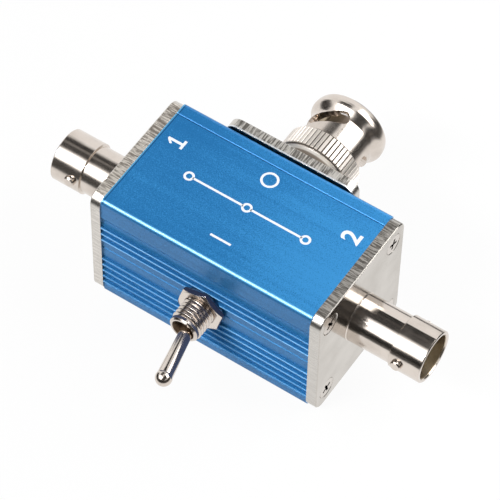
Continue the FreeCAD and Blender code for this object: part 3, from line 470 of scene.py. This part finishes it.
def make_turned_nickel(name, around=None, bore=0.0, inside_shade=None, knurl_from=None, wear=0.0):
    """around is the axis (0 for X, 1 for Y) of a bore whose inside gets painted shade."""
    f = Finish(name)
    wipe = f.noise(wipes_in_metre, detail=3.0)
    haze = f.noise(haze_in_metre)
    colour = f.blend(f.ramp(wipe, 0.35, 0.75), nickel_bright, nickel_wiped)
    gloss = wipe * 0.12 + 0.09 + wear
    if around is not None:
        x, y, z = f.parts_of(f.place())
        off_axis = ((y if around == 0 else x) ** 2 + (z - axis_z) ** 2) ** 0.5
        colour, gloss = shaded_bore(f, colour, gloss, off_axis, bore, inside_shade)
    if knurl_from is not None:
        colour, gloss = knurled_grip(f, colour, gloss, off_axis, knurl_from)
    waves = f.noise(buffing_waves_in_metre, detail=1.0)
    buffed = f.relief(waves, buffing_deep, 1.0, f.soft_edge(turned_edge))
    return f.surface(base_color=colour, metallic=1.0, roughness=gloss,
                     normal=f.relief(haze, haze_deep, 0.25, buffed))


knurl_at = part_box("coupling_nut")[0].y + knurl_start
socket_bore = 4.05 * mm
bushing_bore = 2.05 * mm
coupling_bore = 4.95 * mm
neck_reach = 6.0 * mm
turned_nickel = make_turned_nickel("nickel_turned")
# Bores, the coupling's inside and the plug's neck get painted shade.
left_socket_nickel = make_turned_nickel("nickel_socket_left", 0, socket_bore, bore_shade, wear=0.04)
right_socket_nickel = make_turned_nickel("nickel_socket_right", 0, socket_bore, bore_shade)
bushing_nickel = make_turned_nickel("nickel_bushing", 1, bushing_bore, bushing_bore_shade, wear=0.03)
coupling_nickel = make_turned_nickel("nickel_coupling", 1, coupling_bore, bore_shade,
                                     knurl_from=knurl_at, wear=0.05)
# The plug's neck inside this reach is darkened as painted shade.
collar_nickel = make_turned_nickel("nickel_collar", 1, neck_reach, collar_shade)
print("finishes:", turned_nickel.name, right_socket_nickel.name, coupling_nickel.name)

# %% [markdown]
# ## Plates and bar in nickel
#
# The square plates are polished on their faces and left as milled along their top edges, with
# cutter marks across the thickness. Their upright edges and rounded corners are smooth. An
# image could hold the marks, but a noise drawn out eight times across the plate makes them
# at any size. A rim is known by its normal, which points away from the plate's axis, and its
# flat top by a normal that points straight up. Each plate has its own pair of rim colours, set
# lighter or darker as painted light, and the back one has a painted highlight along its edge
# towards the box. The toggle's nut is hexagon bar: its faced ends are bright nickel, and its
# flats a darker grey.

# %% Plate finish
plate_face = (0.600, 0.562, 0.515)
plate_cloud = (0.500, 0.462, 0.415)
upright_rim = (0.66, 0.63, 0.59)
# Painted highlight along the back plate's edge towards the box.
back_edge_highlight = (0.82, 0.85, 0.89)
clouds_in_metre = 160
cuts_in_metre = 3600
cut_bands_in_metre = 900
cut_stretch = 0.12
cut_deep = 0.16 * mm
plate_edge = 0.07 * mm
highlight_wide = 0.20 * mm
highlight_fade = 0.16 * mm


def mill_marks(f, axis):
    """Cutter marks across the thickness of a plate that faces along this axis."""
    across = tuple(cut_stretch if k == axis else 1.0 for k in range(3))
    cuts = f.noise(cuts_in_metre, detail=3.0, stretch=across, roughness=0.6)
    bands = f.noise(cut_bands_in_metre, stretch=across)
    return cuts * 0.85 + bands * 0.15


def make_plate_nickel(name, axis, rim_dull, rim_bright, highlight_at=None):
    """axis is 0 for a plate facing along X, 1 along Y; the last argument is the plane of an edge that
    gets a painted highlight.
    """
    f = Finish(name)
    normal = f.facing()
    rim = 1 - f.ramp(abs(normal[axis]), 0.55, 0.85)
    upright = 1 - f.ramp(abs(normal[2]), 0.90, 0.985)
    mill = mill_marks(f, axis)
    cloud = f.noise(clouds_in_metre, detail=3.0)
    face_colour = f.blend(f.ramp(cloud, 0.3, 0.8), plate_face, plate_cloud)
    rim_colour = f.blend(f.ramp(mill, 0.40, 0.60), rim_dull, rim_bright)
    rim_colour = f.blend(upright * 0.8, rim_colour, upright_rim)
    # A painted highlight along the edge at the last argument.
    if highlight_at is not None:
        from_edge = f.parts_of(f.place())[axis] - highlight_at
        rim_edge_highlight = 1 - f.ramp(from_edge, highlight_wide, highlight_wide + highlight_fade)
        rim_colour = f.blend(rim_edge_highlight, rim_colour, back_edge_highlight)
    cuts = mill * rim * (1 - upright * 0.8)
    return f.surface(base_color=f.blend(rim, face_colour, rim_colour), metallic=1.0,
                     roughness=rim * (0.30 - upright * 0.18) + cloud * 0.06 + 0.12,
                     normal=f.relief(cuts, cut_deep, 0.6, f.soft_edge(plate_edge)))


# Each plate's rim colours are lighter or darker as painted light.
left_plate_nickel = make_plate_nickel("nickel_plate_left", 0, (0.34, 0.30, 0.26), (0.92, 0.86, 0.78))
right_plate_nickel = make_plate_nickel("nickel_plate_right", 0, (0.16, 0.148, 0.132), (0.50, 0.475, 0.44))
back_plate_nickel = make_plate_nickel("nickel_plate_back", 1, (0.20, 0.185, 0.165),
                                      (0.72, 0.69, 0.645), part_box("plug_plate")[0].y)
print("finishes:", left_plate_nickel.name, right_plate_nickel.name, back_plate_nickel.name)

# %% Hexagon bar
# A darker grey for the nut's flats.
nut_flat_grey = (0.34, 0.34, 0.37)
skin_marks_in_metre = 900
skin_deep = 0.01 * mm
bar_edge = 0.10 * mm


def make_bar_nickel():
    f = Finish("nickel_bar")
    faced = f.ramp(abs(f.facing()[1]), 0.55, 0.85)
    skin = f.noise(skin_marks_in_metre, detail=3.0)
    return f.surface(base_color=f.blend(faced, nut_flat_grey, nickel_bright), metallic=1.0,
                     roughness=skin * 0.15 + 0.16,
                     normal=f.relief(skin, skin_deep, 0.4, f.soft_edge(bar_edge)))


bar_nickel = make_bar_nickel()
print("finish:", bar_nickel.name)

# %% [markdown]
# ## Steel, silver and tin
#
# Washers and the toggle's frame are plated steel: greyer than nickel and finely brushed. The
# contacts are silver with a soft bloom. Solder tags and the bare ground wire are tinned, which
# is pale and slightly cloudy. They differ only in colour, gloss and how strong the clouding
# is, so one function takes those. The screws are plated steel too, and their colour is darkened
# with the depth under the plane of their heads, as painted shade in the cross recess.

# %% Plain metals
brush_marks_in_metre = 5000
brushed = (1, 1, 0.2)
small_edge = 0.04 * mm


def make_metal(name, colour, dull, gloss, cloud_size, grain_deep):
    f = Finish(name)
    cloud = f.noise(1 / cloud_size, detail=3.0)
    grain = f.noise(brush_marks_in_metre, stretch=brushed)
    return f.surface(base_color=f.blend(f.ramp(cloud, 0.3, 0.75), colour, dull), metallic=1.0,
                     roughness=cloud * 0.15 + gloss,
                     normal=f.relief(grain, grain_deep, 0.4, f.soft_edge(small_edge)))


steel = make_metal("plated_steel", (0.56, 0.55, 0.53), (0.42, 0.41, 0.39), 0.16, 1.2 * mm, 0.006 * mm)
silver = make_metal("silver_plate", (0.80, 0.76, 0.66), (0.62, 0.56, 0.45), 0.18, 0.8 * mm, 0.004 * mm)
tin = make_metal("tin_plate", (0.70, 0.69, 0.66), (0.55, 0.54, 0.52), 0.30, 0.6 * mm, 0.008 * mm)
print("finishes:", steel.name, silver.name, tin.name)

# %% Screws with a dark recess
screw_plating = (0.66, 0.61, 0.56)
# Painted shade in the cross recess.
recess_shade = (0.10, 0.085, 0.075)
recess_shade_fade = (0.02 * mm, 0.14 * mm)
tarnish_in_metre = 900
tarnish_deep = 0.01 * mm


def make_screw_steel(name, axis, head_at):
    """head_at is the plane of the heads, on both sides of the middle of this axis."""
    f = Finish(name)
    deep = head_at - abs(f.parts_of(f.place())[axis])
    tarnish = f.noise(tarnish_in_metre, detail=3.0)
    # Darker with depth under the heads: painted shade in the recess.
    colour = f.blend(f.ramp(deep, *recess_shade_fade), screw_plating, recess_shade)
    return f.surface(base_color=colour, metallic=1.0, roughness=tarnish * 0.2 + 0.16,
                     normal=f.relief(tarnish, tarnish_deep, 0.4, f.soft_edge(small_edge)))


end_screw_steel = make_screw_steel("screw_steel_end", 0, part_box("right_plate_screws")[1].x)
back_screw_steel = make_screw_steel("screw_steel_back", 1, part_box("plug_plate_screws")[1].y)
print("finishes:", end_screw_steel.name, back_screw_steel.name)

# %% [markdown]
# ## Plastics, rubber and print
#
# Inside the sockets sits waxy white fluoroplastic. The toggle's case is a red moulded
# thermoset, its plunger natural acetal, and the coupling's gasket is amber silicone rubber. All
# are dull solids with a slight mottle. The print on the lid is a thin white ink: nearly flat,
# a touch uneven where the squeegee left less of it.

# %% Plastics, rubber, ink
def make_dull(name, colour, shade, gloss, mottle_size, deep):
    f = Finish(name)
    mottle = f.noise(1 / mottle_size, detail=3.0)
    return f.surface(base_color=f.blend(f.ramp(mottle, 0.3, 0.7), colour, shade),
                     roughness=mottle * 0.15 + gloss, normal=f.relief(mottle, deep, 0.4))


fluoroplastic = make_dull("fluoroplastic_white", (0.80, 0.78, 0.71), (0.70, 0.67, 0.59), 0.38,
                          0.7 * mm, 0.01 * mm)
thermoset = make_dull("thermoset_red", (0.46, 0.06, 0.05), (0.36, 0.045, 0.04), 0.42,
                      0.9 * mm, 0.02 * mm)
acetal = make_dull("acetal_natural", (0.82, 0.80, 0.74), (0.74, 0.72, 0.66), 0.35,
                   0.5 * mm, 0.006 * mm)
silicone = make_dull("silicone_amber", (0.55, 0.42, 0.22), (0.46, 0.34, 0.17), 0.50,
                     0.4 * mm, 0.01 * mm)
sleeving = make_dull("wire_sleeving", (0.84, 0.83, 0.80), (0.76, 0.75, 0.72), 0.36,
                     0.8 * mm, 0.01 * mm)
white_ink = make_dull("white_ink", (0.90, 0.92, 0.95), (0.78, 0.82, 0.90), 0.45,
                      0.25 * mm, 0.004 * mm)
print("finishes:", fluoroplastic.name, thermoset.name, acetal.name, silicone.name, white_ink.name)

# %% [markdown]
# ## Dressing the solids
#
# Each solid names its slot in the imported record, and most slots have one finish. A list by
# slot dresses most of the object in one go. The pieces in the second list are exceptions: they
# share a slot with others, but have milled rims, drawn flats, a bore, a knurl or a recess.

# %% Which finish goes where
finish_of_slot = {"blue_anodised": anodised, "nickel": turned_nickel, "insulator": fluoroplastic,
                  "contact_silver": silver, "steel": steel, "tinned_brass": tin,
                  "gasket_rubber": silicone, "red_plastic": thermoset, "white_plastic": acetal,
                  "wire_sleeve": sleeving}
finish_of_node = {"left_end_plate": left_plate_nickel, "right_end_plate": right_plate_nickel,
                  "plug_plate": back_plate_nickel, "toggle_nut": bar_nickel,
                  "coupling_nut": coupling_nickel, "plug_body": collar_nickel,
                  "left_jack_body": left_socket_nickel, "right_jack_body": right_socket_nickel,
                  "left_plate_screws": end_screw_steel, "right_plate_screws": end_screw_steel,
                  "plug_plate_screws": back_screw_steel}
print(len(finish_of_slot), "slots and", len(finish_of_node), "pieces with a finish of their own")


# %% Dress them
def dress(piece, material):
    if not piece.material_slots:
        piece.data.materials.append(material)
    for place in piece.material_slots:
        place.material = material


for entry in frame["record"]["subparts"]:
    name = entry["node"]
    dress(frame["nodes"][name], finish_of_node.get(name, finish_of_slot[entry["material_slot"]]))

# %% [markdown]
# ## The threaded bushing
#
# The toggle is held by a bushing with a fine thread, whose crests catch the light as a row of
# bright rings. A thread could be a stack of rings, or a tooth swept along a helix and cut by a
# boolean. Here the bushing is one lathed skin. Along the thread its rows of points don't lie
# in flat rings: each row climbs by one pitch as it goes round, and keeps its own depth between
# crest and root all the way. That makes a true helix in one closed mesh, with no boolean, and
# the thread can fade out into the plain nose and the shoulder.

# %% Sizes of the bushing
bushing_low, bushing_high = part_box("toggle_bushing")
bushing_mouth = bushing_low.y
bushing_long = bushing_high.y - bushing_mouth
thread_pitch = 0.75 * mm
thread_depth = 0.42 * mm
thread_runout = 0.10 * mm
crest_flat = 0.12
flank_share = 0.70
crest_radius = 2.95 * mm
nose_long = 0.80 * mm
nose_radius = 2.72 * mm
nose_bevel = 0.28 * mm
mouth_radius = bushing_bore
mouth_break = 0.12 * mm
foot_radius = (bushing_high.x - bushing_low.x) / 2
foot_bore = 2.40 * mm
foot_thick = 0.5 * mm
frame_thick = 0.5 * mm
step_radius = 2.70 * mm
seat_radius = 1.80 * mm
seat_lead = 0.05 * mm
seat_deep = 1.9 * mm
neck_radius = 1.60 * mm
neck_behind_mouth = 1.8 * mm
pivot_behind_mouth = 3.3 * mm
shoulder = bushing_long - foot_thick - frame_thick
print("threaded for", round((shoulder - nose_long) / mm, 2), "mm")


# %% Where a point of the thread lies
def thread_dip(along):
    """How deep the thread's surface lies under the crest, in metres."""
    flank = abs(2 * (along / thread_pitch % 1.0) - 1)
    return thread_depth * min(1.0, max(0.0, (flank - crest_flat) / flank_share))


def plain_point(along, radius, turn):
    return along, radius


def thread_point(along, radius, turn):
    """A strand of the helix: it climbs one pitch in a turn and fades out at both ends."""
    here = min(max(along + thread_pitch * turn / (2 * math.pi), nose_long), shoulder)
    from_nose, from_shoulder = here - nose_long, shoulder - here
    share = min(1.0, max(0.0, min(from_nose, from_shoulder) / thread_runout))
    start = nose_radius if from_nose < from_shoulder else crest_radius
    return here, start + (radius - thread_dip(along) - start) * share


print("root radius:", round((crest_radius - thread_depth) / mm, 2), "mm")

# %% [markdown]
# The profile runs once round the section: from the mouth over the nose, along the thread, round
# the foot, and back through the ball seat. A row says which rule places its points, so plain
# and threaded stretches stand in one list.

# %% Profile of the bushing
steps_in_pitch = 12
seat_steps = 4


def bushing_profile():
    """Rows of (rule, distance behind the mouth, radius)."""
    rows = [(plain_point, 0.0, mouth_radius + mouth_break),
            (plain_point, 0.0, nose_radius - nose_bevel),
            (plain_point, nose_bevel, nose_radius)]
    strand_gap = thread_pitch / steps_in_pitch
    for k in range(int((shoulder - nose_long) / strand_gap) + steps_in_pitch + 1):
        rows.append((thread_point, nose_long - thread_pitch + k * strand_gap, crest_radius))
    foot_front = bushing_long - foot_thick
    rows += [(plain_point, along, radius) for along, radius in
             ((shoulder, crest_radius), (shoulder, step_radius), (foot_front, step_radius),
              (foot_front, foot_radius), (bushing_long, foot_radius), (bushing_long, foot_bore),
              (pivot_behind_mouth + seat_deep, seat_radius + seat_lead))]
    rim_angle = math.acos(neck_radius / seat_radius)
    for k in range(seat_steps + 1):
        lean = rim_angle * k / seat_steps
        rows.append((plain_point, pivot_behind_mouth - seat_radius * math.sin(lean),
                     seat_radius * math.cos(lean)))
    rows += [(plain_point, neck_behind_mouth, neck_radius), (plain_point, mouth_break, mouth_radius)]
    return rows


print("rows in the profile:", len(bushing_profile()))

# %% Lathe
ring_points = 72
weld_distance = 0.0001 * mm


def link_piece(name, mesh):
    piece = bpy.data.objects.new(name, mesh)
    bpy.context.scene.collection.objects.link(piece)
    return piece


def lathe(name, rows, to_world):
    """A closed skin: every row makes a ring, the last ring joins the first, doubles are welded."""
    mesh = bpy.data.meshes.new(name)
    made = bmesh.new()
    rings = []
    for rule, row_along, row_radius in rows:
        ring = []
        for k in range(ring_points + 1):
            turn = 2 * math.pi * k / ring_points
            along, radius = rule(row_along, row_radius, turn)
            ring.append(made.verts.new(to_world(along, radius * math.cos(turn), radius * math.sin(turn))))
        rings.append(ring)
    for ring, following in zip(rings, rings[1:] + rings[:1]):
        for k in range(ring_points):
            made.faces.new((ring[k], ring[k + 1], following[k + 1], following[k]))
    bmesh.ops.remove_doubles(made, verts=made.verts, dist=weld_distance)
    bmesh.ops.recalc_face_normals(made, faces=made.faces)
    open_edges = sum(1 for edge in made.edges if len(edge.link_faces) != 2)
    print(name, "edges that are not shared by two faces:", open_edges)
    made.to_mesh(mesh)
    made.free()
    mesh.polygons.foreach_set("use_smooth", [True] * len(mesh.polygons))
    return link_piece(name, mesh)


# %% Turn the bushing
crisp_over_degrees = 40
threaded_bushing = lathe("threaded_bushing", bushing_profile(),
                         lambda along, x, z: (x, bushing_mouth + along, axis_z + z))
threaded_bushing.data.set_sharp_from_angle(angle=math.radians(crisp_over_degrees))
dress(threaded_bushing, bushing_nickel)
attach(threaded_bushing, "housing")
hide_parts("toggle_bushing")
print("bushing skin:", len(threaded_bushing.data.polygons), "faces")

# %% [markdown]
# ## The print on the lid
#
# Each socket has its number, and a plain line diagram of the changeover takes the middle of
# the lid: a long rule through three rings, a larger ring towards the plug, and a short bar by
# the toggle. A mask in the blue finish could draw them, but a mesh stays sharp at any size. Ink
# has next to no thickness, and two faces in one plane would flicker, so each mark is a plate a
# hundredth of a millimetre thick, half sunk in the lid.

# %% Plates of ink
ink_thick = 0.012 * mm
rule_thick = 0.42 * mm
half_rule = rule_thick / 2


def flat_mark(name, outlines):
    """A thin plate over closed outlines of (x, y) points; an inner outline makes a ring."""
    mesh = bpy.data.meshes.new(name)
    made = bmesh.new()
    for outer, inner in outlines:
        loops = []
        for points in (outer, inner):
            for z in (lid_z - ink_thick / 2, lid_z + ink_thick / 2):
                loops.append([made.verts.new((x, y, z)) for x, y in points or []])
        low, high, low_in, high_in = loops
        count = len(outer)
        for k in range(count):
            m = (k + 1) % count
            made.faces.new((low[k], low[m], high[m], high[k]))
            if inner:
                made.faces.new((high[k], high[m], high_in[m], high_in[k]))
                made.faces.new((high_in[k], high_in[m], low_in[m], low_in[k]))
                made.faces.new((low_in[k], low_in[m], low[m], low[k]))
        if not inner:
            made.faces.new(high)
            made.faces.new(low)
    bmesh.ops.recalc_face_normals(made, faces=made.faces)
    made.to_mesh(mesh)
    made.free()
    return link_piece(name, mesh)


print("rules are", round(rule_thick / mm, 2), "mm wide")

# %% Rings and bars
ring_sides = 48


def ring_outline(x, y, radius):
    """Outer and inner outline of a ring of the rule's thickness."""
    turns = [2 * math.pi * k / ring_sides for k in range(ring_sides)]
    return [[(x + r * math.cos(t), y + r * math.sin(t)) for t in turns]
            for r in (radius, radius - rule_thick)]


def bar_outline(x0, x1, y0, y1):
    """Outline of a bar, with nothing cut out of it."""
    return [[(x0, y0), (x1, y0), (x1, y1), (x0, y1)], None]


print("rings have", ring_sides, "sides")

# %% [markdown]
# Where the long rule starts and ends follows from the diagram's reach, the rings' radius and
# the rule's thickness. It runs half its own thickness into each ring, so that the ink is
# unbroken where they meet.

# %% Line diagram
diagram_reach = 12.4 * mm
ring_radius = 0.95 * mm
plug_ring_y = 6.8 * mm
plug_ring_radius = 1.6 * mm
toggle_bar_y = -7.7 * mm
toggle_bar_half = 2.0 * mm
rule_from = ring_radius - half_rule
rule_to = diagram_reach - 2 * ring_radius + half_rule
diagram = [ring_outline(side * (diagram_reach - ring_radius), 0, ring_radius) for side in (-1, 1)]
diagram.append(ring_outline(0, 0, ring_radius))
diagram.append(ring_outline(0, plug_ring_y, plug_ring_radius))
for side in (-1, 1):
    x0, x1 = sorted((side * rule_from, side * rule_to))
    diagram.append(bar_outline(x0, x1, -half_rule, half_rule))
diagram.append(bar_outline(-toggle_bar_half, toggle_bar_half,
                           toggle_bar_y - half_rule, toggle_bar_y + half_rule))
lid_diagram = flat_mark("lid_diagram", diagram)
print("diagram of", len(diagram), "outlines")

# %% [markdown]
# The built-in font has a good 2, and a text object turns it into a mesh by itself. Its 1 has no
# foot, and seen from the far side of the lid it could pass for a plain stroke, so the 1 is
# drawn as an outline with a flag and a foot.

# %% Numeral 1, drawn
numeral_height = 3.25 * mm
numeral_centre = 4.7 * mm
numeral_inset = 3.4 * mm
stroke = 0.50 * mm
foot_half = 0.95 * mm
flag_drop = 0.85 * mm
flag_tip = 0.6
flag_heel = 1.3
flag_root = 1.35


def one_outline(x):
    """A 1 with a flag and a foot: across is its right, up is its top, which points to -X."""
    half = stroke / 2
    flag_end = numeral_height - flag_drop
    shape = [(-foot_half, 0), (foot_half, 0), (foot_half, stroke), (half, stroke),
             (half, numeral_height), (-half * flag_tip, numeral_height), (-foot_half, flag_end),
             (-foot_half + half, flag_end - half * flag_heel),
             (-half, numeral_height - stroke * flag_root), (-half, stroke), (-foot_half, stroke)]
    return [[(x + numeral_height / 2 - up, numeral_centre + across) for across, up in shape], None]


numeral_1 = flat_mark("numeral_1", [one_outline(-half_length + numeral_inset)])
print("numeral 1 is", round(numeral_1.dimensions.x / mm, 2), "mm high")

# %% Numeral 2, from the font
cap_share = 0.69
bolder = 0.09 * mm
font_shift = 0.3 * mm


def print_numeral(text, x):
    """A numeral of the built-in font, reading along +Y with its foot towards +X."""
    letter = bpy.data.curves.new("numeral_" + text, "FONT")
    letter.body = text
    letter.size = numeral_height / cap_share
    letter.extrude = ink_thick / 2
    letter.offset = bolder
    letter.align_x = "CENTER"
    letter.align_y = "CENTER"
    piece = link_piece("numeral_" + text, letter)
    quarter_turn = Matrix.Rotation(math.pi / 2, 4, "Z")
    piece.matrix_world = Matrix.Translation((x, numeral_centre, lid_z)) @ quarter_turn
    return piece


prints = [lid_diagram, numeral_1, print_numeral("2", half_length - numeral_inset + font_shift)]
for piece in prints:
    dress(piece, white_ink)
    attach(piece, "housing")
print("marks:", [piece.name for piece in prints])

# %% [markdown]
# ## A white floor and sky
#
# A small bright object on a white table wants a floor that reads as white and still takes a
# shadow. More light would do it, but would wash out the blue. So the floor keeps a plain pale
# colour for the light that falls on the object, and shows white only to the camera and to what
# sees it in a mirror or through glass. The sky does the same, and lights the object at a
# fraction of what it shows.

# %% White floor that keeps its shadow
floor_glow = 0.94
floor_grey = (0.86, 0.86, 0.86)
floor_reach = 6.0
floor_below = 0.2 * mm


def seen_directly(tree):
    """1 for rays from the camera, from a mirror or through glass, 0 for light on the object."""
    path = tree.node("ShaderNodeLightPath").socket.node
    camera_ray, glossy, through = [Amount(tree, path.outputs["Is %s Ray" % kind])
                                   for kind in ("Camera", "Glossy", "Transmission")]
    return tree.math("MAXIMUM", camera_ray, tree.math("MAXIMUM", glossy, through))


def make_backdrop_white():
    f = Finish("floor_white")
    f.surface(base_color=floor_grey, roughness=0.9)
    glow = f.node("ShaderNodeEmission", None, {"Color": (1, 1, 1), "Strength": 1.0})
    mixed = f.node("ShaderNodeMixShader", None, {0: seen_directly(f) * floor_glow,
                                                 1: Amount(f, f.shader.outputs[0]), 2: glow})
    f.feed(f.nodes_of.nodes["Material Output"].inputs["Surface"], mixed)
    return f.material


floor_mesh = bpy.data.meshes.new("floor")
floor_mesh.from_pydata([(x * floor_reach, y * floor_reach, -floor_below)
                        for x, y in ((-1, -1), (1, -1), (1, 1), (-1, 1))], [], [(0, 1, 2, 3)])
floor = link_piece("floor", floor_mesh)
dress(floor, make_backdrop_white())
print("floor", round(floor_below / mm, 2), "mm under the box")

# %% Pale world
world_level = 0.30


class Sky(Tree):
    """The tree of the world, ending in its Background shader."""

    def __init__(self, name):
        self.world = bpy.data.worlds.new(name)
        self.world.use_nodes = True
        self.nodes_of = self.world.node_tree
        self.shader = self.nodes_of.nodes["Background"]


sky = Sky("studio")
sky.feed(sky.shader.inputs["Color"], (1.0, 1.0, 1.0))
sky.feed(sky.shader.inputs["Strength"], seen_directly(sky) * (1 - world_level) + world_level)
bpy.context.scene.world = sky.world
print("world level for diffuse light:", world_level)

# %% [markdown]
# ## Soft lamps
#
# A large soft lamp over the front left shoulder gives the long streak on every barrel and the
# glow on the lid. Inside it burns a small hot core, because real softboxes are brighter in the
# middle, and that is what makes nickel flash white. A third lamp stands close on the right and
# lights the end plate. Energy in watts says little about a lamp's look, so each is given by
# what its reflection would read in a perfect mirror.

# %% Lamps
object_middle = Vector((0, 0, axis_z))
width_lies_along = Vector((1, 0, 0))


def softbox(name, direction, distance, width, height, brightness):
    """A soft rectangular lamp; brightness is what its reflection reads in a perfect mirror."""
    lamp = bpy.data.lights.new(name, "AREA")
    lamp.shape = "RECTANGLE"
    lamp.size = width
    lamp.size_y = height
    lamp.energy = brightness * math.pi * width * height
    back = Vector(direction).normalized()
    up = back.cross(width_lies_along).normalized()
    turn = Matrix((up.cross(back), up, back)).transposed()
    thing = link_piece(name, lamp)
    thing.matrix_world = Matrix.Translation(object_middle + back * distance) @ turn.to_4x4()
    return thing


softbox("front_softbox", (-0.34, -0.66, 0.66), distance=1.60, width=1.40, height=1.32, brightness=1.6)
softbox("front_core", (-0.34, -0.62, 0.70), distance=1.56, width=0.64, height=0.20, brightness=26.0)
softbox("right_softbox", (0.56, 0.46, 0.66), distance=0.30, width=0.26, height=0.23, brightness=3.4)

# %% [markdown]
# ## Dark cards
#
# Mirror-like nickel under an even white sky looks like grey plaster: it needs something dark
# on either side of each highlight. A studio hangs black cards round the object. These do the
# same, and only reflections see them: they cast no shadow and are hidden from the camera.
# Their edges fade through Alpha, because a hard edge would draw a hard line on every barrel.
# They are solid on one side only, so that the far side of a card never shows. The black is
# uneven, with one grey lath overhead on the left. The card just in front of the ribbed wall is
# a painted reflection: navy, standing in for the blue wall in shade as the toggle's nut mirrors it.

# %% What a card looks like
soot_deep = (0.010, 0.010, 0.010)
soot_pale = (0.11, 0.10, 0.093)
lath_grey = (0.34, 0.33, 0.32)
navy_deep = (0.040, 0.060, 0.140)
navy_pale = (0.060, 0.100, 0.220)
ceiling = 0.45
smudges_in_metre = 16
smudge_stretch = (0.15, 1, 1)
lath_across = ((0.06, 0.10), (0.12, 0.16))
lath_end = (-0.18, -0.15)


def uneven(f):
    return f.noise(smudges_in_metre, stretch=smudge_stretch)


def soot(f):
    """Uneven black, with one grey lath across the left card overhead."""
    x, y, z = f.parts_of(f.node("ShaderNodeTexCoord", output="Object"))
    lath = f.between(y, *lath_across) * (1 - f.ramp(x, *lath_end))
    overhead = f.ramp(z, ceiling - 0.02, ceiling)
    black = f.blend(f.ramp(uneven(f), 0.45, 0.68), soot_deep, soot_pale)
    return f.blend(lath * overhead * 0.8, black, lath_grey)


# A painted reflection: the blue wall in shade, as the toggle's nut mirrors it.
def wall_shade_reflection(f):
    return f.blend(f.ramp(uneven(f), 0.40, 0.70), navy_deep, navy_pale)


def make_card_finish(name, fades, glow):
    """fades lists (what, clear, full): along x, y, z or radius, from clear to wholly solid."""
    f = Finish(name)
    x, y, z = f.parts_of(f.node("ShaderNodeTexCoord", output="Object"))
    places = {"x": x, "y": y, "z": z, "radius": (x * x + y * y) ** 0.5}
    solid = 1 - f.node("ShaderNodeNewGeometry", output="Backfacing")
    for what, clear, full in fades:
        rising = f.ramp(places[what], min(clear, full), max(clear, full))
        solid = solid * (rising if full > clear else 1 - rising)
    return f.surface(base_color=(0.0, 0.0, 0.0), roughness=1.0, alpha=solid,
                     emission_color=glow(f), emission_strength=1.0)


print("cards overhead hang", ceiling, "m up")


# %% Hang a card
def card(name, corners, fades, glow=soot):
    """corners are two rows of points; the card spans between the rows."""
    half = len(corners) // 2
    mesh = bpy.data.meshes.new(name)
    mesh.from_pydata(corners, [], [(k, k + 1, k + 1 + half, k + half) for k in range(half - 1)])
    thing = link_piece(name, mesh)
    dress(thing, make_card_finish(name + "_finish", fades, glow))
    thing.visible_camera = False
    thing.visible_diffuse = False
    thing.visible_shadow = False
    print(name, "faces", [round(v, 2) for v in mesh.polygons[0].normal])


arc_steps = 36


def arcs(inner, outer, from_degrees, to_degrees):
    """Two rows of points round the object, from one (radius, height) to another."""
    points = []
    for radius, z in (inner, outer):
        for k in range(arc_steps + 1):
            turn = math.radians(from_degrees + (to_degrees - from_degrees) * k / arc_steps)
            points.append((radius * math.cos(turn), radius * math.sin(turn), z))
    return points


def overhead_corners(x0, x1, y0, y1):
    """Two rows of points in the plane of the ceiling."""
    return [(x0, y0, ceiling), (x0, y1, ceiling), (x1, y0, ceiling), (x1, y1, ceiling)]


# %% [markdown]
# The horizon card is a low wall that curves from the object's left past its front and its right
# to the back. The floor card lies inside that curve like a dark mat, with a hole for the
# object's own place. Two cards hang overhead, one over the left half and one over the right.
# The right one reaches far forward, because the right socket mirrors the end plate beside it,
# and the plate mirrors the sky in front. Distances are in metres.

# %% Cards
horizon_radius = 0.34
horizon_top = 0.19
mat_lift = 0.3 * mm
mat_hole = 0.045
wall_gap = 0.4 * mm
wall_margin = 1.0 * mm
card("horizon_card", arcs((horizon_radius, horizon_top), (horizon_radius, 0.0), 170, 425),
     [("z", horizon_top, 0.13)])
card("floor_card", arcs((horizon_radius, mat_lift), (mat_hole, mat_lift), 170, 460),
     [("radius", 0.050, 0.085)])
card("overhead_card", overhead_corners(-0.44, -0.02, -0.14, 0.42),
     [("x", -0.02, -0.06), ("y", -0.14, -0.09), ("y", 0.42, 0.34), ("x", -0.44, -0.38)])
card("right_card", overhead_corners(0.05, 0.60, -1.10, 0.42),
     [("x", 0.05, 0.09), ("y", -1.10, -0.95), ("y", 0.42, 0.34)])
# The painted reflection of the wall in shade, just in front of the ribbed wall.
card("wall_card", [(x, front_y - wall_gap, z) for z in (wall_margin, lid_z - wall_margin)
                   for x in (-half_length, half_length)], [], wall_shade_reflection)
print("stage set")
